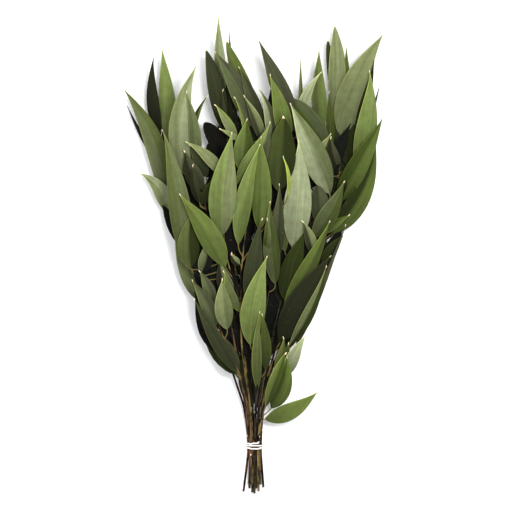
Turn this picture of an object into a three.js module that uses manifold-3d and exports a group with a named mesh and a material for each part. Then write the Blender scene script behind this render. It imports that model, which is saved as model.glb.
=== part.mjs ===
// A tied bunch of preserved willow eucalyptus, lying on its back.
// Millimetres. Plan places x and y are read with the cut ends near y = 0, the tips near y = 600 and
// x = 0 at the tie. Height z is 0 on the surface that the bunch lies on.
import * as THREE from "three";
import { mergeVertices } from "three/addons/utils/BufferGeometryUtils.js";
import Module from "manifold-3d";

const { clamp, degToRad, lerp, smoothstep } = THREE.MathUtils;
const wasm = await Module();
wasm.setup();

// Driving dimensions of the bunch.
const BUNCH_LENGTH = 600;
const MIDDLE_X = -2.5;
const MIDDLE_Y = 299.745;
const TIE_Y = 60;
const STEM_RADIUS = 1.55;
const STEM_END_RADIUS = 0.9;
const ROW_PITCH = 3.1;
const STRAND_RADIUS = 0.85;
const SEAT_GAP = 0.35;
const REST_TRIM = 0.42;
const TRACE_SPACING = 5;
const TRACE_ROUNDS = 16;
const FAN_START = 66;
const FAN_LENGTH = 110;
const STEM_LEVELS = [50, 66, 84, 110, 145, 185, 230, 275, 320, 365, 410, 455];

// How the bunch lies: the height of its middle sheet, how its sides sag and how its back is pressed flat.
const TIE_HEIGHT = ROW_PITCH / 2 + STEM_RADIUS + SEAT_GAP + 2 * STRAND_RADIUS - REST_TRIM;
const CROWN_HEIGHT = 38;
const SIDE_SAG = 22;
const SAG_HALF_WIDTH = 130;
const PRESS_DEPTH = 12;
const PRESS_DROP = 1.7;

// Clear heights kept between one leaf and the next.
const FRONT_CLEARANCE = 1.0;
const BACK_CLEARANCE = 1.6;
const OWN_CLEARANCE = 0.4;
const OWN_FREE = 0.3;
const CELL = 2;
const SHEET_X = [-190, 190];
const SHEET_Y = [-10, 620];

// A leaf: lanceolate, with a thick midrib and a slight channel.
const PETIOLE_LENGTH = 12;
const PETIOLE_RADIUS = 0.85;
const RIB_HALF_THICKNESS = 0.65;
const CHANNEL = degToRad(9);
const BLADE_RINGS = [0, 0.13, 0.34, 0.58, 0.81];
const HIDDEN_RINGS = [0, 0.18, 0.48, 0.78];
const BASE_POWER = 0.8;
const TIP_POWER = 1.4;

// The bunch's outlines that the hidden leaves keep inside: its sides as [y, x] and its top as [x, y].
const LEFT_SIDE = [[100, -14], [150, -32], [200, -56], [260, -80], [330, -98], [400, -126],
  [500, -150]];
const RIGHT_SIDE = [[100, 14], [150, 32], [200, 58], [260, 82], [330, 104], [400, 138], [500, 144]];
const TOP_SIDE = [[-150, 430], [-118, 480], [-84, 445], [-52, 445], [-44, 500], [20, 505], [50, 490],
  [85, 480], [95, 488], [125, 505], [150, 460]];

// Each stem: its place in the tied bundle, its cut end and its way up through the bunch, in x and y.
// rows counts the bundle's rows from the back. Each leaf is
// [base x, base y, tip x, tip y, width, bow to its right, roll, lift], with angles in degrees, and
// a last number for the few that are blunter than the rest.
const STEMS = [
  {
    name: "stem_tall_left",
    row: 1,
    foot: [-15.6, 2],
    path: [[-8.8, 60], [-13, 104], [-20, 128], [-29, 148], [-48, 215], [-68, 280], [-88, 350],
      [-108, 415], [-118, 450]],
    hidden: [150, 340, 6],
    leaves: [
      [-108, 440, -118, 560, 22, 1, 10, 6],
      [-120, 448, -128, 549, 17, -6, 30, 4],
      [-128, 420, -163, 489, 6, -1, 40, 4],
      [-111, 350, -147, 402, 20, 10, 10, 3],
      [-74, 243, -103, 338, 21, -1, 5, 3],
      [-112, 358, -166, 507, 26, 13, -8, 8, 1.2],
    ],
  },
  {
    name: "stem_tall_right",
    row: 1,
    foot: [9.4, 7.5],
    path: [[5.6, 60], [8, 100], [11, 130], [22, 163], [44, 220], [68, 285], [88, 345], [103, 400],
      [110, 445]],
    hidden: [150, 330, 6],
    leaves: [
      [114, 412, 110, 524, 26, -1, 0, 3],
      [108, 485, 113, 561, 11, 2, 30, 4],
      [104, 470, 89, 569, 13, 0, 10, 4, 0.8],
      [97, 471, 98, 587, 22, 4, 8, 6, 0.95],
      [107, 446, 161, 577, 36, -9, -6, 8],
      [124, 452, 148, 545, 14, 3, 45, 3],
      [130, 430, 155, 512, 8, 1, 50, 3],
      [126, 402, 143, 530, 27, 5, 8, 6],
      [93, 324, 150, 441, 27, 13, -12, 4],
      [100, 363, 159, 471, 27, 2, 6, 7],
    ],
  },
  {
    name: "stem_tall_centre_left",
    row: 1,
    foot: [-6.6, 10],
    path: [[-5.2, 60], [-7, 105], [-13, 160], [-22, 250], [-31, 330], [-36, 400], [-40, 450], [-42, 488]],
    hidden: [142, 400, 9],
    leaves: [
      [-28, 480, -33, 579, 8, -1, 30, 5],
      [-33, 440, -40, 528, 15, 0, 0, 3],
      [-42, 490, -47, 600, 15, -1, 15, 4],
      [-42, 455, -63, 557, 22, 3, -10, 5, 1.0],
      [-36, 445, -42, 506, 11, -2, 25, 6],
      [-33, 405, -65, 464, 22, 4, 0, 4, 0.6],
    ],
  },
  {
    name: "stem_tall_centre",
    row: 1,
    foot: [-2.4, 5],
    path: [[-1.6, 60], [-1, 110], [2, 180], [7, 270], [11, 350], [13, 400], [15, 430], [28, 445]],
    hidden: [145, 400, 9],
    leaves: [
      [50, 452, 2, 569, 24, 2, -12, 5],
      [14, 450, 18, 508, 14, 2, 25, 4],
      [10, 448, -38, 567, 21, -1, 12, 6, 0.9],
      [2, 455, -52, 553, 28, 4, -8, 7],
      [9, 452, -21, 534, 17, 1, -4, 7],
      [8, 440, -16, 498, 14, 3, 10, 7],
      [19, 436, 3, 507, 15, 6, 15, 8],
      [38, 434, 16, 524, 22, 4, 8, 6],
    ],
  },
  {
    name: "stem_tall_centre_right",
    row: 1,
    foot: [2.2, 7],
    path: [[2.0, 60], [4, 105], [8, 138], [16, 180], [33, 260], [50, 330], [66, 395], [78, 440], [88, 472]],
    hidden: [150, 420, 9],
    leaves: [
      [94, 430, 91, 504, 11, 0, 10, 3],
      [82, 452, 79, 557, 19, -2, -5, 6],
      [58, 440, 56, 548, 8, -1, 40, 4],
      [54, 455, 82, 528, 15, -7, 12, 5],
      [93, 424, 41, 495, 26, 4, -5, 5, 0.75],
      [104, 405, 93, 447, 14, -2, 10, 5],
      [66, 410, 94, 451, 11, 0, 0, 5],
    ],
  },
  {
    name: "stem_mid_left",
    row: 2,
    foot: [-8.4, 12],
    path: [[-7.0, 60], [-11.5, 105], [-23, 165], [-35, 235], [-48, 300], [-61, 355], [-74, 395],
      [-84, 420]],
    hidden: [165, 300, 4],
    leaves: [
      [-24, 150, -46, 207, 26, -3, 8, 4],
      [-80, 440, -60, 498, 8, -5, 20, 3],
      [-87, 398, -73, 537, 29, -14, -8, 7],
      [-77, 402, -88, 503, 16, 6, 15, 4],
      [-62, 396, -84, 437, 17, 2, 0, 4],
      [-66, 378, -89, 430, 22, -3, 5, 4],
      [-71, 365, -79, 412, 12, -2, 30, 4],
      [-69, 362, -50, 402, 15, 3, 8, 5],
      [-89, 292, -116, 456, 28, 5, -5, 5],
      [-81, 283, -80, 352, 28, -4, 0, 3],
      [-69, 275, -60, 322, 18, 3, 6, 3],
    ],
  },
  {
    name: "stem_mid_right",
    row: 2,
    foot: [0.4, 6],
    path: [[0.2, 60], [3, 105], [6, 135], [14, 168], [28, 230], [45, 295], [66, 345], [82, 368]],
    hidden: [165, 290, 4],
    leaves: [
      [83, 330, 77, 386, 24, 0, 0, 3, 0.7],
      [36, 303, 39, 380, 16, -4, 0, 4],
      [92, 375, 42, 488, 33, 2, 6, 6],
      [88, 326, 118, 349, 10, -2, 5, 6],
      [70, 320, 110, 392, 24, 4, -8, 5],
      [45, 309, 53, 443, 35, 4, 4, 8],
    ],
  },
  {
    name: "stem_mid_centre",
    row: 2,
    foot: [-4.6, 1],
    path: [[-3.4, 60], [-6, 100], [-12, 142], [-18, 182], [-20, 216], [-20, 250], [-18, 290], [-12, 335]],
    twigs: [
      [[-20, 240], [-27, 262], [-38, 300], [-41, 325], [-37, 385], [-27, 425]],
      [[-18, 290], [2, 318], [20, 350]],
    ],
    leaves: [
      [-24, 443, -51, 487, 12, 1, 5, 6],
      [-19, 441, -46, 456, 7, 1, 5, 6],
      [-11, 440, -27, 496, 9, 4, 10, 6],
      [-17, 402, -12, 469, 27, 0, -8, 6],
      [-40, 396, -88, 440, 15, 5, 0, 5],
      [28, 378, 35, 472, 37, 0, -6, 5, 1.0],
      [40, 374, 33, 422, 5, 4, 20, 5],
      [-24, 387, 18, 465, 28, 6, 6, 5],
      [4, 330, 5, 447, 25, 3, 4, 6],
      [-22, 312, 5, 437, 22, -5, -6, 8],
      [-43, 322, -29, 452, 35, -4, -6, 8],
      [-20, 287, -31, 302, 10, -2, 10, 5],
      [-31, 243, -46, 294, 20, -2, 0, 4],
      [-20, 228, -40, 280, 13, -3, 10, 5],
      [-38, 284, -96, 375, 29, 4, 5, 9],
    ],
  },
  {
    name: "stem_low_left",
    row: 3,
    foot: [-6.4, 11],
    path: [[-5.2, 60], [-8, 96], [-13, 127], [-20, 152], [-28, 168], [-38, 188], [-52, 220],
      [-63, 255], [-70, 280]],
    leaves: [
      [-53, 238, -71, 280, 15, 2, 0, 4],
      [-50, 210, -81, 268, 18, 3, -6, 6],
      [-36, 206, -42, 270, 23, -2, 0, 7],
      [-24, 152, -77, 245, 18, -2, -10, 4],
    ],
  },
  {
    name: "stem_low_right",
    row: 2,
    foot: [5.6, 11],
    path: [[3.8, 60], [7, 100], [10, 130], [18, 158], [28, 195], [38, 240], [52, 277], [66, 300]],
    leaves: [
      [83, 288, 110, 325, 15, -1, 0, 3],
      [36, 242, 62, 330, 28, -3, 5, 5],
      [72, 299, 58, 342, 15, 2, 10, 6],
      [36, 237, 92, 342, 21, 4, -8, 8],
      [50, 185, 113, 337, 13, -1, 12, 4],
      [30, 190, 93, 299, 34, -3, -4, 6],
      [42, 186, 88, 286, 15, 5, 14, 6],
    ],
  },
  {
    name: "stem_low_centre",
    row: 3,
    foot: [-1.8, -0.5],
    path: [[-1.6, 60], [-0.5, 100], [2, 145], [6, 190], [13, 235], [20, 275]],
    leaves: [
      [25, 290, 30, 388, 17, 0, 12, 5],
      [24, 262, 17, 366, 21, -2, -6, 5],
      [11, 300, 14, 345, 10, 2, 20, 6],
      [-6, 228, 7, 345, 24, -3, 0, 6],
      [-7, 187, 14, 298, 31, -5, -5, 8],
      [12, 155, 8, 226, 14, 2, 10, 5],
      [2, 130, 4, 229, 13, -2, 8, 6],
    ],
  },
  {
    name: "stem_front_low",
    row: 3,
    foot: [3.4, 2.3],
    path: [[2.0, 60], [4, 84], [8, 104], [14, 128], [22, 152]],
    leaves: [
      [28, 152, 41, 190, 13, 2, 10, 5],
      [24, 150, 35, 197, 12, 2, 20, 6],
      [37, 147, 62, 199, 17, -2, -10, 5],
      [19, 107, 39, 173, 23, 6, 8, 6],
      [12, 109, 37, 178, 14, -1, -5, 8, 1.0],
      [11, 93, 78, 129, 22, 6, -6, 5],
    ],
  },
  {
    name: "stem_back_centre",
    row: 0,
    foot: [-4.3, 9],
    path: [[-3.4, 60], [-4, 110], [-6, 180], [-4, 260], [2, 340], [12, 410], [22, 455]],
    hidden: [125, 440, 15],
    leaves: [
      [24, 455, 24, 514, 20, 2, 10, 5],
      [-5, 108, -16, 196, 22, -2, 0, 2],
      [3, 106, 10, 192, 22, 2, 0, 2],
    ],
  },
  {
    name: "stem_back_left",
    row: 0,
    foot: [-8.2, 6],
    path: [[-7.0, 60], [-13, 110], [-25, 175], [-43, 250], [-60, 325], [-76, 390], [-86, 430]],
    hidden: [130, 430, 13],
    leaves: [[-88, 435, -98, 500, 19, -3, 10, 5]],
  },
  {
    name: "stem_back_right",
    row: 0,
    foot: [4.2, 12],
    path: [[3.8, 60], [10, 110], [22, 175], [40, 250], [62, 325], [84, 390], [100, 430]],
    hidden: [130, 430, 13],
    leaves: [[98, 425, 96, 486, 22, 3, 10, 5], [102, 435, 120, 502, 22, 3, 10, 5]],
  },
];

// The stems nearest the middle sheet are laid first, on either side of it.
const LAYING_ORDER = [
  "stem_tall_left", "stem_tall_right", "stem_tall_centre_left", "stem_tall_centre_right",
  "stem_tall_centre", "stem_mid_left", "stem_mid_right", "stem_mid_centre", "stem_low_left",
  "stem_low_right", "stem_low_centre", "stem_front_low", "stem_back_centre", "stem_back_left",
  "stem_back_right",
];

// Finishes: one green for each stem's leaves, from olive to charcoal, and cream for the tie.
const GREENS = [0x6b7d4a, 0x55703a, 0x5e6f44, 0x7c9150, 0x4a5a3c, 0x8a9a6a];
const TIE_CREAM = 0xf3ebdc;

// Heights above or below the bunch's middle sheet, turned into heights over the surface.
function lie(x, y, u) {
  const crown = lerp(TIE_HEIGHT, CROWN_HEIGHT, smoothstep(y, 50, 250));
  const sag = SIDE_SAG * (x / SAG_HALF_WIDTH) ** 2 * smoothstep(y, 110, 260);
  const z = crown - sag + u;
  const loose = smoothstep(y, 90, 200);
  const depth = lerp(0.5, PRESS_DEPTH, loose);
  const pressed = z >= depth ? z : depth * Math.exp(z / depth - 1);
  return new THREE.Vector3(x - MIDDLE_X, y - MIDDLE_Y, pressed - PRESS_DROP * loose);
}

// The tops of what is already laid on one side of the middle sheet, cell by cell.
class HeightSheet {
  constructor() {
    this.columns = Math.ceil((SHEET_X[1] - SHEET_X[0]) / CELL);
    this.rows = Math.ceil((SHEET_Y[1] - SHEET_Y[0]) / CELL);
    this.tops = new Float64Array(this.columns * this.rows);
  }
  place(x, y) {
    const i = clamp(Math.floor((x - SHEET_X[0]) / CELL), 1, this.columns - 2);
    const j = clamp(Math.floor((y - SHEET_Y[0]) / CELL), 1, this.rows - 2);
    return j * this.columns + i;
  }
  top(x, y) {
    return this.tops[this.place(x, y)];
  }
  raise(x, y, top) {
    const middle = this.place(x, y);
    for (const across of [-1, 0, 1]) {
      for (const along of [-1, 0, 1]) {
        const cell = middle + across + along * this.columns;
        this.tops[cell] = Math.max(this.tops[cell], top);
      }
    }
  }
  merge(other) {
    other.tops.forEach((top, cell) => {
      this.tops[cell] = Math.max(this.tops[cell], top);
    });
  }
}

// Points at most spacing apart along straight legs.
function subdivide(points, spacing) {
  return points.flatMap((point, k) => {
    if (k === 0) return [point.clone()];
    const steps = Math.ceil(points[k - 1].distanceTo(point) / spacing);
    return Array.from({ length: steps }, (_, i) => points[k - 1].clone().lerp(point, (i + 1) / steps));
  });
}

// A smooth way through plan points: the legs are divided finely and their corners relaxed.
function trace(plan) {
  let points = subdivide(plan.map(([x, y]) => new THREE.Vector3(x, y, 0)), TRACE_SPACING);
  for (let round = 0; round < TRACE_ROUNDS; round++) {
    points = points.map((point, k) => {
      if (k === 0 || k === points.length - 1) return point;
      return point.clone().multiplyScalar(2).add(points[k - 1]).add(points[k + 1]).divideScalar(4);
    });
  }
  return points;
}

// The height that a stem has gained on its neighbours in the tied bundle at y.
const fanOut = (y) => 1 - Math.exp(-Math.max(0, y - FAN_START) / FAN_LENGTH);

// Where a line that climbs in y stands at one y.
function lineAt(line, y) {
  const k = clamp(line.findIndex((point) => point.y >= y), 1, line.length - 1);
  const t = clamp((y - line[k - 1].y) / (line[k].y - line[k - 1].y), 0, 1);
  return line[k - 1].clone().lerp(line[k], t);
}

// The second number of an outline's pairs where the first is at.
function outlineAt(outline, at) {
  const last = outline.length - 1;
  const found = outline.findIndex(([first]) => first > at);
  const next = found < 0 ? last : Math.max(found, 1);
  const [from, low] = outline[next - 1];
  const [to, high] = outline[next];
  return lerp(low, high, clamp((at - from) / (to - from), 0, 1));
}

// Hidden leaves stand alternately left and right along a stretch of stem, by a fixed scatter.
const scatter = (index, step) => (index * step) % 1;
function hiddenLeaves(line, [from, to, count], seed) {
  return Array.from({ length: count }, (_, k) => {
    const n = count - 1 - k;
    const node = lineAt(line, lerp(from, to, (n + 0.5) / count));
    const ahead = lineAt(line, node.y + 10);
    const heading = Math.atan2(ahead.x - node.x, ahead.y - node.y);
    const side = n % 2 ? 1 : -1;
    const index = n + seed * 17 + 1;
    const angle = 0.6 * heading + side * degToRad(14 + 24 * scatter(index, 0.7549));
    const length = 84 + 34 * scatter(index, 0.5698);
    const baseX = node.x + side * 8;
    const baseY = node.y + 9;
    const outX = baseX + length * Math.sin(angle);
    const tipY = Math.min(baseY + length * Math.cos(angle), outlineAt(TOP_SIDE, outX));
    const tipX = clamp(outX, outlineAt(LEFT_SIDE, tipY), outlineAt(RIGHT_SIDE, tipY));
    return [baseX, baseY, tipX, tipY, 21 + 9 * scatter(index, 0.4301),
      side * 4, 36 * (scatter(index, 0.618) - 0.5), 1 + 3 * scatter(index, 0.3247)];
  });
}

// Half the width of a leaf at t, from 0 at the blade's base to 1 at its tip.
function halfWidth({ width, tipPower }, t) {
  const widest = BASE_POWER / (BASE_POWER + tipPower);
  return 0.5 * width * (t / widest) ** BASE_POWER * ((1 - t) / (1 - widest)) ** tipPower;
}

// How a leaf rises from its base and levels off towards its tip.
const arching = (t) => (t < 0 ? 0 : 1 - (1 - t) ** 2);

// A leaf's midrib and the height it needs, once its foot on the stem is known.
class Leaf {
  constructor([baseX, baseY, tipX, tipY, width, bow, roll, lift, tipPower = TIP_POWER], wood, rings) {
    this.base = new THREE.Vector2(baseX, baseY);
    this.tip = new THREE.Vector2(tipX, tipY);
    this.chord = this.tip.clone().sub(this.base);
    this.length = this.chord.length();
    this.side = new THREE.Vector2(this.chord.y, -this.chord.x).divideScalar(this.length);
    Object.assign(this, { width, tipPower, bow, rings, roll: degToRad(roll), lift: Math.tan(degToRad(lift)) });
    const start = this.tangent(0);
    const wanted = this.base.clone().addScaledVector(start, -PETIOLE_LENGTH);
    const reach = (point) => Math.hypot(point.x - wanted.x, point.y - wanted.y);
    this.foot = wood.reduce((best, point) => (reach(point) < reach(best) ? point : best));
    this.petiole = Math.hypot(this.base.x - this.foot.x, this.base.y - this.foot.y);
    this.control = this.base.clone().addScaledVector(start, -0.5 * this.petiole);
    this.step = 0;
    this.tilt = 0;
  }
  tangent(t) {
    return this.chord.clone().addScaledVector(this.side, this.bow * 4 * (1 - 2 * t)).normalize();
  }
  plan(t) {
    const sideways = this.bow * 4 * t * (1 - t);
    return this.base.clone().addScaledVector(this.chord, t).addScaledVector(this.side, sideways);
  }
  // The height of the midrib at t, or along the petiole where t is below 0 and -1 is the foot.
  height(t) {
    const reach = this.petiole + this.length;
    const gone = t < 0 ? this.petiole * (1 + t) : this.petiole + this.length * t;
    const rise = this.lift * gone * (1 - 0.3 * gone / reach);
    return this.foot.z + rise + this.step * Math.min(1, gone / this.petiole) + this.tilt * arching(t);
  }
  // A point of the blade at t along it and a across it, from -1 to 1, off its middle by thickness.
  point(t, a, thickness) {
    const middle = this.plan(t);
    const along = this.tangent(t);
    const half = Math.max(t < 0.01 ? PETIOLE_RADIUS : 0, halfWidth(this, t));
    const roll = this.roll * (0.35 + 0.65 * t);
    const out = a * half * Math.cos(roll);
    const up = a * half * Math.sin(roll) + Math.abs(a) * half * Math.sin(CHANNEL);
    return new THREE.Vector3(middle.x + along.y * out, middle.y - along.x * out,
      this.height(t) + up + thickness);
  }
  stalk(t, a, thickness) {
    const s = 1 + t;
    const x = (1 - s) ** 2 * this.foot.x + 2 * s * (1 - s) * this.control.x + s * s * this.base.x;
    const y = (1 - s) ** 2 * this.foot.y + 2 * s * (1 - s) * this.control.y + s * s * this.base.y;
    const dx = (1 - s) * (this.control.x - this.foot.x) + s * (this.base.x - this.control.x);
    const dy = (1 - s) * (this.control.y - this.foot.y) + s * (this.base.y - this.control.y);
    const size = Math.hypot(dx, dy) || 1;
    return new THREE.Vector3(x + dy / size * a * PETIOLE_RADIUS, y - dx / size * a * PETIOLE_RADIUS,
      this.height(t) + thickness);
  }
  // Every place of the blade and its stalk, closely enough to meet each cell of a height sheet.
  places(visit) {
    const along = Math.ceil(this.length / 1.5);
    for (let i = 0; i <= along; i++) {
      const t = i / along;
      const across = Math.ceil(halfWidth(this, t) / 1.5) + 1;
      for (let j = -across; j <= across; j++) visit(t, this.point(t, j / across, 0));
    }
    const steps = Math.ceil(this.petiole / 1.5);
    for (let i = 1; i < steps; i++) visit(i / steps - 1, this.stalk(i / steps - 1, 0, 0));
  }
  // Lifts the blade at its base and tilts its tip until it clears the others and its own stem's leaves.
  settle(others, own, clearance) {
    const need = (t, point) => {
      const beside = others.top(point.x, point.y) + clearance;
      const within = t > OWN_FREE ? own.top(point.x, point.y) + OWN_CLEARANCE : 0;
      return Math.max(beside, within) + RIB_HALF_THICKNESS - point.z;
    };
    let step = 0;
    this.places((t, point) => {
      if (t >= 0 && t < 0.25) step = Math.max(step, need(t, point));
    });
    this.step = step;
    let tilt = 0;
    this.places((t, point) => {
      if (t >= 0.2) tilt = Math.max(tilt, need(t, point) / arching(t));
    });
    this.tilt = tilt;
    this.places((t, point) => own.raise(point.x, point.y, point.z + RIB_HALF_THICKNESS));
  }
}

// Rings of points joined into a closed skin, ending flat, or at one point where the last ring has one.
function loft(rings, closed = false) {
  const positions = rings.flat().flatMap((p) => [p.x, p.y, p.z]);
  const faces = [];
  const starts = [];
  let total = 0;
  for (const ring of rings) {
    starts.push(total);
    total += ring.length;
  }
  const sides = rings[0].length;
  const count = closed ? rings.length : rings.length - 1;
  for (let k = 0; k < count; k++) {
    const low = starts[k];
    const high = starts[(k + 1) % rings.length];
    const ends = rings[(k + 1) % rings.length].length === 1;
    for (let i = 0; i < sides; i++) {
      const j = (i + 1) % sides;
      if (ends) faces.push([low + i, low + j, high]);
      else if (i % 2) faces.push([low + i, low + j, high + i], [low + j, high + j, high + i]);
      else faces.push([low + i, low + j, high + j], [low + i, high + j, high + i]);
    }
  }
  const cap = (start, flip) => {
    for (let i = 1; i < sides - 1; i++) {
      faces.push(flip ? [start, start + i + 1, start + i] : [start, start + i, start + i + 1]);
    }
  };
  if (!closed) {
    cap(starts[0], true);
    if (rings.at(-1).length > 1) cap(starts.at(-1), false);
  }
  const make = (list) => new wasm.Manifold(new wasm.Mesh({
    numProp: 3, vertProperties: new Float32Array(positions), triVerts: new Uint32Array(list.flat()),
  }));
  const solid = make(faces);
  return solid.volume() > 0 ? solid : make(faces.map(([a, b, c]) => [a, c, b]));
}

// A round tube along centres, each with its own radius.
function rod(centres, radii, sides) {
  const up = new THREE.Vector3(0, 0, 1);
  return loft(centres.map((centre, k) => {
    const ahead = centres[Math.min(k + 1, centres.length - 1)];
    const behind = centres[Math.max(k - 1, 0)];
    const along = ahead.clone().sub(behind).normalize();
    const across = along.clone().cross(up).normalize();
    const over = across.clone().cross(along);
    return Array.from({ length: sides }, (_, i) => {
      const turn = 2 * Math.PI * (i + 0.5) / sides;
      return centre.clone()
        .addScaledVector(across, radii[k] * Math.cos(turn))
        .addScaledVector(over, radii[k] * Math.sin(turn));
    });
  }));
}

// One stem's wood and leaves, laid over what is already on its side of the middle sheet.
function layStem(stem, index, others, clearance, leastFan) {
  const start = Math.abs(stem.row - 0.5) * ROW_PITCH;
  const [tieX] = stem.path[0];
  const way = trace([stem.foot, [tieX, TIE_Y - 12], ...stem.path]);
  const apex = way.at(-1).y;
  const taper = (y) => lerp(STEM_RADIUS, STEM_END_RADIUS, smoothstep(y, 60, apex));
  let fan = leastFan;
  for (const { x, y } of way) {
    if (y < 125) continue;
    fan = Math.max(fan, (others.top(x, y) + clearance + taper(y) - start) / fanOut(y));
  }
  const levels = [way[0].y, ...STEM_LEVELS.filter((y) => y > way[0].y + 5 && y < apex - 12), apex];
  const knots = levels.map((y) => {
    const knot = lineAt(way, y);
    knot.z = start + fan * fanOut(y);
    return knot;
  });
  const line = subdivide(knots, TRACE_SPACING);
  const own = new HeightSheet();
  for (const { x, y, z } of line) {
    if (y > 110) own.raise(x, y, z + taper(y));
  }
  const twigs = (stem.twigs ?? []).map((plan) => {
    const points = trace(plan);
    const foot = lineAt(line, points[0].y);
    const rise = (k) => k / (points.length - 1);
    let climb = 0;
    points.forEach(({ x, y }, k) => {
      if (k < 4) return;
      climb = Math.max(climb, (others.top(x, y) + clearance + STEM_END_RADIUS - foot.z) / rise(k));
    });
    points.forEach((point, k) => {
      point.z = foot.z + climb * rise(k);
      if (k > 2) own.raise(point.x, point.y, point.z + STEM_END_RADIUS);
    });
    points[0].copy(foot);
    return points;
  });
  const wood = [line, ...twigs].flatMap((points) => points.slice(0, -1).filter(({ y }) => y > 70));
  const hidden = stem.hidden ? hiddenLeaves(line, stem.hidden, index) : [];
  const leaves = [...hidden, ...stem.leaves].map((row, place) => {
    const leaf = new Leaf(row, wood, place < hidden.length ? HIDDEN_RINGS : BLADE_RINGS);
    leaf.settle(others, own, clearance);
    return leaf;
  });
  others.merge(own);
  return { row: stem.row, knots, line, twigs, leaves, taper, fan, face: stem.row > 0 ? 1 : -1 };
}

// The solid of one leaf: a square stalk that starts inside the stem, and a channelled blade.
function leafSolid(leaf, face) {
  const down = ({ x, y, z }) => lie(x, y, face * z);
  const ring = (place, t, rib) =>
    [place(t, -1, 0), place(t, 0, rib), place(t, 1, 0), place(t, 0, -rib)].map(down);
  const stalk = (t, a, thickness) => leaf.stalk(t, a, thickness);
  const blade = (t, a, thickness) => leaf.point(t, a, thickness);
  return loft([
    ring(stalk, -1, PETIOLE_RADIUS),
    ...leaf.rings.map((t) => ring(blade, t, t ? RIB_HALF_THICKNESS : PETIOLE_RADIUS)),
    [down(leaf.point(1, 0, 0))],
  ]);
}

function stemSolid({ knots, twigs, leaves, taper, face }) {
  const place = ({ x, y, z }) => lie(x, y, face * z);
  let solid = rod(knots.map(place), knots.map(({ y }) => taper(y)), 6);
  for (const twig of twigs) {
    const points = twig.filter((_, k) => k % 5 === 0 || k === twig.length - 1);
    solid = solid.add(rod(points.map(place), points.map(() => STEM_END_RADIUS), 6));
  }
  for (const leaf of leaves) solid = solid.add(leafSolid(leaf, face));
  return solid;
}

function toGeometry(solid) {
  const mesh = solid.getMesh();
  const geometry = new THREE.BufferGeometry();
  geometry.setAttribute("position", new THREE.BufferAttribute(mesh.vertProperties, mesh.numProp));
  geometry.setIndex(new THREE.BufferAttribute(mesh.triVerts, 1));
  geometry.computeVertexNormals();
  return geometry;
}

// What reaches below the surface by a hair is cut to a small flat spot to rest on.
function restFlat(solid) {
  const slab = new THREE.BoxGeometry(2 * BUNCH_LENGTH, 2 * BUNCH_LENGTH, 20);
  slab.translate(0, 0, -10);
  slab.deleteAttribute("normal");
  slab.deleteAttribute("uv");
  const merged = mergeVertices(slab);
  return solid.subtract(new wasm.Manifold(new wasm.Mesh({
    numProp: 3,
    vertProperties: merged.attributes.position.array,
    triVerts: new Uint32Array(merged.index.array),
  })));
}

// The tie: turns of cream elastic round the bundle, each pulled against the outermost stems.
function bundleAt(laid, y) {
  return laid.map(({ line, face }) => {
    const { x, z } = lineAt(line, y);
    return lie(x, y, face * z);
  });
}

function turnPoint(laid, angle, y) {
  const out = new THREE.Vector3(Math.cos(angle), 0, Math.sin(angle));
  const outermost = bundleAt(laid, y).reduce((best, centre) =>
    (centre.dot(out) > best.dot(out) ? centre : best));
  return outermost.clone().addScaledVector(out, STEM_RADIUS + SEAT_GAP + STRAND_RADIUS);
}

function strand(laid, from, to, count, height, closed) {
  const centres = Array.from({ length: count }, (_, k) => {
    const share = k / (closed ? count : count - 1);
    return turnPoint(laid, lerp(from, to, share), height(share));
  });
  const rings = centres.map((centre, k) => {
    const ahead = centres[closed ? (k + 1) % count : Math.min(k + 1, count - 1)];
    const behind = centres[closed ? (k + count - 1) % count : Math.max(k - 1, 0)];
    const along = ahead.clone().sub(behind).normalize();
    const across = new THREE.Vector3(0, 1, 0).addScaledVector(along, -along.y).normalize();
    const over = along.clone().cross(across);
    return Array.from({ length: 6 }, (_, i) => {
      const turn = 2 * Math.PI * i / 6;
      return centre.clone()
        .addScaledVector(across, STRAND_RADIUS * Math.cos(turn))
        .addScaledVector(over, STRAND_RADIUS * Math.sin(turn));
    });
  });
  return loft(rings, closed);
}

const TURN = 2 * Math.PI;
function tieSolid(laid) {
  const lowerHeight = (share) => TIE_Y - 2.6 + 1.1 * Math.cos(share * TURN) ** 2;
  const looseHeight = (share) => {
    if (share < 0.1) return TIE_Y + lerp(4.8, 1, share / 0.1);
    return TIE_Y + lerp(1, 3, smoothstep(share, 0.1, 0.35)) - 3 * smoothstep(share, 0.7, 1);
  };
  const lower = strand(laid, 0, TURN, 22, lowerHeight, true);
  const upper = strand(laid, 0, TURN, 22, () => TIE_Y - 0.2, true);
  const loose = strand(laid, 0.2 * TURN, 1.02 * TURN, 20, looseHeight, false);
  return lower.add(upper).add(loose);
}

const laid = new Map();
const sheets = { front: new HeightSheet(), back: new HeightSheet() };
for (const name of LAYING_ORDER) {
  const index = STEMS.findIndex((stem) => stem.name === name);
  const { row } = STEMS[index];
  const inner = [...laid.values()].filter((other) => other.row > 0 && other.row < row);
  const leastFan = Math.max(0, ...inner.map((other) => other.fan));
  const [sheet, clearance] = row > 0 ? [sheets.front, FRONT_CLEARANCE] : [sheets.back, BACK_CLEARANCE];
  laid.set(name, layStem(STEMS[index], index, sheet, clearance, leastFan));
}

const bunch = new THREE.Group();
bunch.name = "willow_eucalyptus_bunch";
STEMS.forEach((stem, index) => {
  const colour = GREENS[index % GREENS.length];
  const finish = new THREE.MeshStandardMaterial({ color: colour, roughness: 0.55, metalness: 0 });
  const mesh = new THREE.Mesh(toGeometry(restFlat(stemSolid(laid.get(stem.name)))), finish);
  mesh.name = stem.name;
  bunch.add(mesh);
});
const elastic = new THREE.MeshStandardMaterial({ color: TIE_CREAM, roughness: 0.7, metalness: 0 });
const tie = new THREE.Mesh(toGeometry(restFlat(tieSolid([...laid.values()]))), elastic);
tie.name = "tie";
bunch.add(tie);

export default bunch;
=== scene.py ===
import math

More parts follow.
